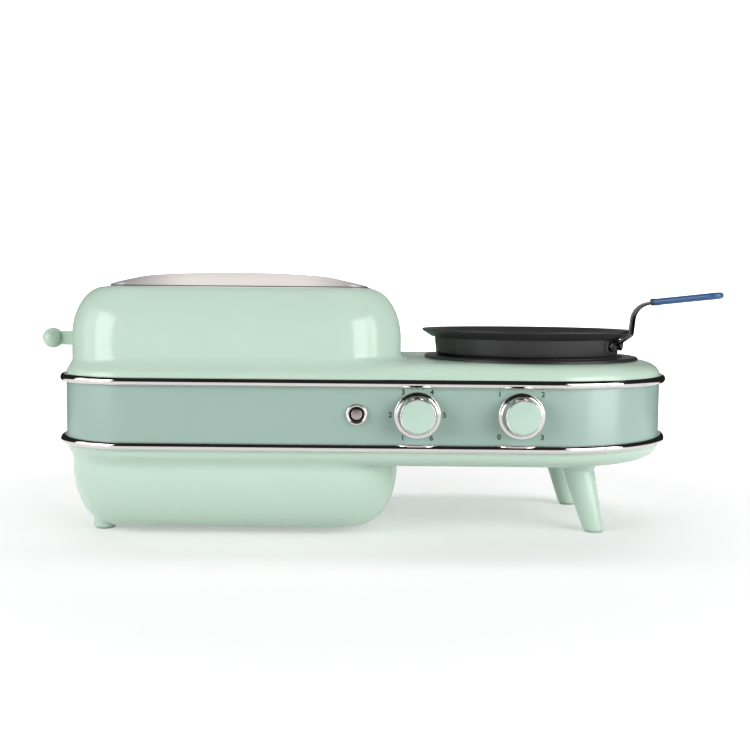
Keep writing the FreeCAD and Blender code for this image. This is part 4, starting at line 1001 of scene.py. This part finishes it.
def skirtLine():
    # Profile (radius, along) of a hollow knob: boss, inside, skirt, sloping side and seat of the cap
    base, face, shell = knob["gap"], knob["gap"] + knob["depth"], knob["shell"]
    seat, edge, shoulder = face - knob["capDepth"], knob["radius"], knob["radius"] - knob["shoulder"]
    lift, recess = base + knob["skirt"], knob["cap"] + knob["seatGap"]
    shaft, boss, top = knob["shaft"], knob["boss"], knob["face"]
    return softLine([(shaft, base + shell, 0), (boss, base + shell, 0.3), (boss, seat - shell, 0.3),
                     (top - shell, seat - shell, 0.3), (shoulder - shell, lift - shell, 0.3),
                     (edge - shell, lift - shell, 0.3), (edge - shell, base, 0.2), (edge, base, 0.3),
                     (edge, lift, 0.7), (shoulder, lift, 0.35), (top, face, 0.35), (recess, face, 0.2),
                     (recess, seat, 0), (shaft, seat, 0)])


def capLine():
    # Flat disc behind, shallow dome in front: along = face + crown * (1 - (r / radius)^2)
    face, radius = knob["gap"] + knob["depth"], knob["cap"] - knob["capGap"]
    back = face - knob["capDepth"]
    share = np.linspace(0, 0.96, 14)
    dome = columns(radius * share, face + knob["crown"] * (1 - share ** 2))
    edge = softLine([(*dome[-1], 0), (radius, face, 0.4), (radius, back, 0), (0, back, 0)], 4, closed=False)
    return np.concatenate([dome, edge[1:]])


def bezelLine():
    # Profile (radius, along): a round rim outside the panel and a guide tube behind it
    guide, tube, outer, inner = (button[key] for key in ("guide", "tube", "outer", "inner"))
    deep, proud, soft = -button["deep"], button["proud"], button["soft"]
    return softLine([(guide, deep, 0), (tube, deep, 0), (tube, 0, 0), (outer, 0, 0.1), (outer, proud, soft),
                     (inner, proud, soft), (inner, -wall, 0), (guide, -wall, 0)], 10)


def shadeLiningLine():
    # Black lining put in for the shade in the gap of the ring (painted shade), from the panel's back to a
    # slope round the button
    guide, inner = button["guide"] + button["wellGap"][0], button["inner"] - button["wellGap"][1]
    high, low, rim = button["well"]
    return softLine([(guide, -wall, 0), (inner, -wall, 0), (inner, high, 0.1),
                     (button["inner"] - rim, high, 0.1), (guide, low, 0.1)])


def buttonLine():
    # Profile (radius, along): a dome, rise - drop * share^2, a soft edge and a straight plunger
    radius, rise, end = button["radius"], button["rise"], -button["plunger"]
    inset, drop, edgeDrop = button["dome"]
    share = np.linspace(0, 1, 8)
    top = columns((radius - inset) * share, rise - drop * share ** 2)
    edge = softLine([(*top[-1], 0), (radius, rise - edgeDrop, 0.45), (radius, end, 0.2), (0, end, 0)], 6,
                    closed=False)
    return np.concatenate([top, edge[1:]])


for name, x in (("browning", browningX), ("heat", heatX)):
    seat, body = (x, frontY, controlZ), name + "_knob"
    piece(name + "Skirt", spun(skirtLine(), seat, front, 128), "chrome_trim", body, [body + "_skirt"],
          sharp=24)
    piece(name + "Cap", spun(capLine(), seat, front, 96), "mint_shell", body, [body + "_cap"], "cap_mint",
          weld=True)
seat = (buttonX, frontY, controlZ)
piece("buttonRing", spun(bezelLine(), seat, front, 96), "chrome_trim", "housing", ["button_bezel"])
# A black ring stands in for the shadow in the gap round the button: painted shade
piece("buttonShadeLining", spun(shadeLiningLine(), seat, front, 96), "black_plastic", "housing")
piece("cancelButton", spun(buttonLine(), seat, front, 64), "button_metal", "button", ["cancel_button"],
      weld=True)

# Figures round the two knobs, printed on the band, and short marks between them

# mark: start, end, half width. figures: text and its angle in degrees
dial = {"size": 5.0, "bold": 0.12, "thick": 0.06, "lift": 0.02, "mark": (17.2, 18.2, 0.3),
        "browning": {"radius": 18.2, "figures": {"1": 238, "2": 180, "3": 122, "4": 58, "5": 0, "6": -58},
                     "marks": (102, 90, 78)},
        "heat": {"radius": 20.5, "figures": {"0": 225, "1": 135, "2": 45, "3": -45}, "marks": ()}}


def figureShape(text):
    # One figure from the built-in letter shapes as points and faces, centred about zero in the XZ plane
    curve = bpy.data.curves.new("figure", "FONT")
    curve.body, curve.size, curve.extrude = text, dial["size"], dial["thick"] / 2
    curve.resolution_u, curve.offset = 4, dial["bold"]
    obj = linked("figure", curve)
    mesh = meshOf(obj)
    co = pointsOf(mesh)
    co -= (co.min(0) + co.max(0)) / 2
    faces = [list(face.vertices) for face in mesh.polygons]
    bpy.data.objects.remove(obj)
    bpy.data.meshes.remove(mesh)
    return columns(co[:, 0], -co[:, 2], co[:, 1]), faces


def makeFigures(x, scale):
    # Figures at their angles on a circle round the knob, and bars along its spokes
    y = frontY - dial["lift"] - dial["thick"] / 2
    shapes = []
    for text, degrees in scale["figures"].items():
        points, faces = figureShape(text)
        angle = math.radians(degrees)
        spoke = np.array([math.cos(angle), 0, math.sin(angle)]) * scale["radius"]
        shapes.append((points + spoke + (x, y, controlZ), faces))
    near, far, half = dial["mark"]
    for degrees in scale["marks"]:
        bar = block((near, -dial["thick"] / 2, -half), (far, dial["thick"] / 2, half))
        turn = Matrix.Translation((x, y, controlZ)) @ Matrix.Rotation(-math.radians(degrees), 4, "Y")
        shapes.append(placed(bar, turn))
    return joined(*shapes)


for name, x in (("browning", browningX), ("heat", heatX)):
    piece(name + "Figures", makeFigures(x, dial[name]), "black_plastic", "housing", finish="dial_ink")
print("controls ready")

# Lever: a flat arm with soft edges, and a ball

ballMid = middleOf("lever_ball")
armLow, armHigh = nodeBox("lever_arm")
lever = {"ball": 7.75, "neck": 5.2, "groove": (0.3, 1.0, 0.7), "soft": 1.3, "corner": 2.2}


def makeArm():
    # A rounded plan with soft edges, stood upright along X
    height, thick = (armHigh[2] - armLow[2]) / 2, (armHigh[1] - armLow[1]) / 2
    plan = (armLow[0], armHigh[0], height, lever["corner"], lever["corner"])
    points, faces = pillow(plan, softEdge(thick, lever["soft"], 13), cornerSteps=10)
    middle = (armLow + armHigh) / 2
    return columns(points[:, 0], middle[1] - points[:, 2], middle[2] + points[:, 1]), faces


def ballLine():
    # A sphere, flattened and grooved where the arm goes in
    radius, neck = lever["ball"], lever["neck"]
    turn = np.linspace(np.pi, math.asin(neck / radius), 48)
    ball = columns(radius * np.sin(turn), radius * np.cos(turn))
    flat, (far, near, deep) = ball[-1, 1], lever["groove"]
    outer, inner, bed = neck - far, neck - near, flat - deep
    back = softLine([(*ball[-1], 0), (outer, flat, 0.2), (outer, bed, 0.2), (inner, bed, 0.2),
                     (inner, flat, 0.2), (0, flat, 0)], 4, closed=False)
    return np.concatenate([ball, back[1:]])


piece("leverArm", makeArm(), "mint_shell", "carriage", ["lever_arm"])
piece("leverBall", spun(ballLine(), ballMid, (1, 0, 0), 96), "mint_shell", "carriage", ["lever_ball"],
      weld=True)

# Legs, pads and the inlet for the cord

# foot, top: x, y. collar: radius, then the depths where it is full and where it starts. edge: share of the
# radius, height. pad: radius, height, soft edge
leg = {"foot": (162.8, 49.5), "top": (149.3, 42.5), "radii": (7.6, 12.2), "collar": (13.6, 3.6, 7.5),
       "edge": ((0.88, 0), (0.965, 0.25), (1.0, 0.85)), "pad": (6.6, 1.6, 0.5)}
gland = {"bore": 3.6, "neck": 5.7, "tube": 6.45, "flange": 9.5, "inside": 7.0, "nut": 4.0, "rim": 2.5,
         "ribs": (3.0, 4.3), "rib": (0.5, 0.8), "outside": 6.5, "tip": 1.4}
trayFloor = housing["lower"]["level"]


def makeLeg(side):
    # Level circles along a leaning line: the radius grows evenly and eases into a collar by s^2 (3 - 2 s)
    low = leg["pad"][1]
    # Its rows lie closer near the collar
    depth = np.concatenate([np.linspace(trayFloor - low, 14, 12), np.linspace(13, 0, 27)])
    share = 1 - depth / trayFloor
    radius, x, y = (start + (end - start) * share for start, end in (
        leg["radii"], *zip(leg["foot"], leg["top"])))
    wide, near, far = leg["collar"]
    ease = np.clip((far - depth) / (far - near), 0, 1)
    radius += (wide - radius) * ease ** 2 * (3 - 2 * ease)
    edge, lift = np.array(leg["edge"]).T
    x, y, z = (np.concatenate([[v[0]] * 3, v[1:]])[:, None] for v in (x, side * y, trayFloor - depth))
    radius = np.concatenate([radius[0] * edge, radius[1:]])[:, None]
    z[:3, 0] = low + lift
    turn = np.linspace(0, 2 * np.pi, 72, endpoint=False)
    return surface(columns(x + radius * np.cos(turn), y + radius * np.sin(turn), z), lids=True)


def makePads():
    # A low turned post under each leg and each foot
    radius, high, soft = leg["pad"]
    line = postLine(radius, 0, high, soft)
    lean = (leg["top"][0] - leg["foot"][0]) * high / trayFloor
    places = [(leg["foot"][0] + lean, leg["foot"][1]), housing["footPlace"]]
    return joined(*[spun(line, (x, side * y, 0), steps=48, closed=False)
                    for x, y in places for side in (-1, 1)])


def glandLine():
    # Tube with a nut inside the wall, a flange outside it and two ribs towards its end
    bore, neck, tube, flange = (gland[key] for key in ("bore", "neck", "tube", "flange"))
    inner, nut, outer = -wall - gland["inside"], -wall - gland["nut"], gland["outside"]
    gap, rib = gland["rib"]
    line = [(bore, inner, 0.2), (tube, inner, 0.2), (tube, nut, 0), (flange, nut, 0.4), (flange, -wall, 0.2),
            (tube, -wall, 0), (tube, 0, 0), (flange, 0, 0.1), (flange, gland["rim"], 0.9)]
    for start in gland["ribs"]:
        line += [(neck, start - gap, 0.15), (neck, start, 0.15), (tube, start, 0.25),
                 (tube, start + rib, 0.25)]
    return softLine(line + [(neck, outer - gland["tip"], 0.15), (neck, outer, 0.6), (bore, outer, 0.7)], 4)


piece("frontLeg", makeLeg(-1), "mint_shell", "housing", ["front_leg"])
piece("rearLeg", makeLeg(1), "mint_shell", "housing", ["rear_leg"])
piece("footPads", makePads(), "pad_rubber", "housing", ["foot_pads"])
seat = (glandX, rearY, controlZ)
piece("cordGland", spun(glandLine(), seat, rear, 72), "black_plastic", "housing", ["cord_gland"])
print("legs and inlet ready")

# Camera, at the photograph's angle

view = {"place": (5.997, -758.30, 164.1), "lens": 47.70, "sensor": 36.0, "clip": (0.01, 50.0),
        "down": 4.224, "left": 0.201, "roll": 0.515}


def makeCamera():
    # Rolled, tilted down and turned left by degrees, then moved to its place
    data = bpy.data.cameras.new("camera")
    data.lens, data.sensor_width = view["lens"], view["sensor"]
    data.clip_start, data.clip_end = view["clip"]
    camera = linked("camera", data)
    turn = (Matrix.Rotation(math.radians(view["left"]), 4, "Z")
            @ Matrix.Rotation(math.radians(90 - view["down"]), 4, "X")
            @ Matrix.Rotation(math.radians(view["roll"]), 4, "Z"))
    camera.matrix_world = Matrix.Translation((bodyMid + view["place"]) * mm) @ turn
    scene.camera = camera


makeCamera()

# Studio, in metres: a pale floor that sweeps up behind the object, tall soft boxes to the left and right, one
# box above, a wash on the sweep and a low light for the band

# far: start, end, strength. cardPlace: half width, y, low, high. boxes: name, place, target, size, watts
studio = {"floorHalf": 3.0, "back": 1.9, "bend": 0.8, "wallTop": 2.6, "front": -2.6, "split": 0.3,
          "paper": (0.74, 0.74, 0.74), "glow": 0.37, "far": (0.27, 0.8, 0.8),
          "card": (0.31, 0.32, 0.31), "cardPlace": (0.75, 1.6, 0.02, 1.1),
          "boxes": (("leftBox", (-1.22, -0.96, 0.50), (0, 0, 0.10), (0.85, 0.95), 13.0),
                    ("leftSide", (-1.53, -0.27, 0.50), (0, 0, 0.10), (0.70, 0.95), 3.2),
                    ("rightBox", (1.10, -1.16, 0.50), (0, 0, 0.10), (0.80, 0.95), 13.5),
                    ("rightSide", (1.46, -0.60, 0.50), (0, 0, 0.10), (0.40, 0.95), 6.0),
                    ("bandGleam", (0.64, -0.37, 0.055), (0.16, -0.08, 0.08), (0.30, 0.11), 0.40),
                    ("topBox", (0.0, 0.35, 1.7), (0, 0.1, 0.10), (2.0, 1.2), 4.8),
                    ("backWash", (0.0, 0.75, 1.9), (0, 1.9, 0.5), (2.4, 1.2), 26.0)),
          "world": (0.02, 0.02, 0.02), "seen": (1.0, 1.0, 1.0)}


def stageSheet(name, half, y, z, material):
    # A sheet of the studio, level in X, along a line (y, z)
    grid = columns(np.array([-half, half]), y[:, None], z[:, None])
    mesh = bpy.data.meshes.new(name)
    mesh.from_pydata(grid.reshape(-1, 3).tolist(), [], gridFaces(len(y), 2, wrapCols=False))
    mesh.polygons.foreach_set("use_smooth", np.ones(len(mesh.polygons), bool))
    mesh.materials.append(material)
    sheet = linked(name, mesh)
    return sheet


def makePaper():
    # Plain paper with a glow of its own
    paper = skinFinish("studioPaper", studio["paper"], 0.75, grain=60.0, cloud=2.0, relief=0.0, shift=0.004)
    tree = paper.node_tree
    sockets = tree.nodes["Principled BSDF"].inputs
    sockets["Emission Color"].default_value = (1, 1, 1, 1)
    # The paper's own glow is seen by eye and by polished surfaces, and lights nothing
    path = addNode(tree, "LightPath").outputs
    glow = mapped(tree, path["Is Diffuse Ray"], 0, 1, studio["glow"], 0)
    # Far from the object it grows for the eye alone, until the paper is plain white
    place = addNode(tree, "TexCoord").outputs["Object"]
    away = addNode(tree, "VectorMath", [(0, place)], operation="LENGTH").outputs["Value"]
    start, end, most = studio["far"]
    far = mapped(tree, away, start, end, 0, most, smooth=True)
    eye = mathNode(tree, "MULTIPLY", far, path["Is Camera Ray"])
    tree.links.new(mathNode(tree, "ADD", glow, eye), sockets["Emission Strength"])
    return paper


def makeStage():
    # A level floor, a sweep of a quarter circle up to an upright sheet, and a card
    paper, width = makePaper(), studio["floorHalf"]
    split, back, radius = studio["split"], studio["back"], studio["bend"]
    bend = np.linspace(0, np.pi / 2, 24)
    y = np.concatenate([[split], back - radius * (1 - np.sin(bend)), [back]])
    z = np.concatenate([[0.0], radius * (1 - np.cos(bend)), [studio["wallTop"]]])
    stageSheet("floor", width, np.array([studio["front"], split]), np.zeros(2), paper)
    # Polished surfaces see a grey card in the place of the bright sweep
    stageSheet("sweep", width, y, z, paper).visible_glossy = False
    glow = {"Emission Color": (*studio["card"], 1), "Emission Strength": 1.0}
    grey = shader("greyCard", (0, 0, 0), 1.0, **glow)[0]
    half, at, low, high = studio["cardPlace"]
    card = stageSheet("greyCard", half, np.array([at, at]), np.array([low, high]), grey)
    card.visible_camera = card.visible_diffuse = card.visible_shadow = False


def makeLight(name, place, target, size, power):
    # A soft box that faces its target
    light = bpy.data.lights.new(name, "AREA")
    light.shape, light.energy = "RECTANGLE", power
    light.size, light.size_y = size
    obj = linked(name, light)
    obj.visible_glossy = name.startswith(("left", "right"))
    if name == "bandGleam":
        # Seen by the band alone: the strip of light on its right end
        obj.visible_glossy, obj.visible_diffuse, obj.visible_camera = True, False, False
        obj.light_linking.receiver_collection = bpy.data.collections.new("bandAlone")
        obj.light_linking.receiver_collection.objects.link(bpy.data.objects["bandPanel"])
    turn = (Vector(place) - Vector(target)).to_track_quat("Z", "Y")
    obj.matrix_world = Matrix.Translation(place) @ turn.to_matrix().to_4x4()


def makeWorld():
    # Dark for the object, white for the eye
    world = bpy.data.worlds.new("studio")
    world.use_nodes = True
    tree, back = world.node_tree, world.node_tree.nodes["Background"]
    seen = addNode(tree, "LightPath").outputs["Is Camera Ray"]
    tree.links.new(tinted(tree, seen, studio["world"], studio["seen"]), back.inputs["Color"])
    scene.world = world


makeStage()
for box in studio["boxes"]:
    makeLight(*box)
makeWorld()
print("studio ready")
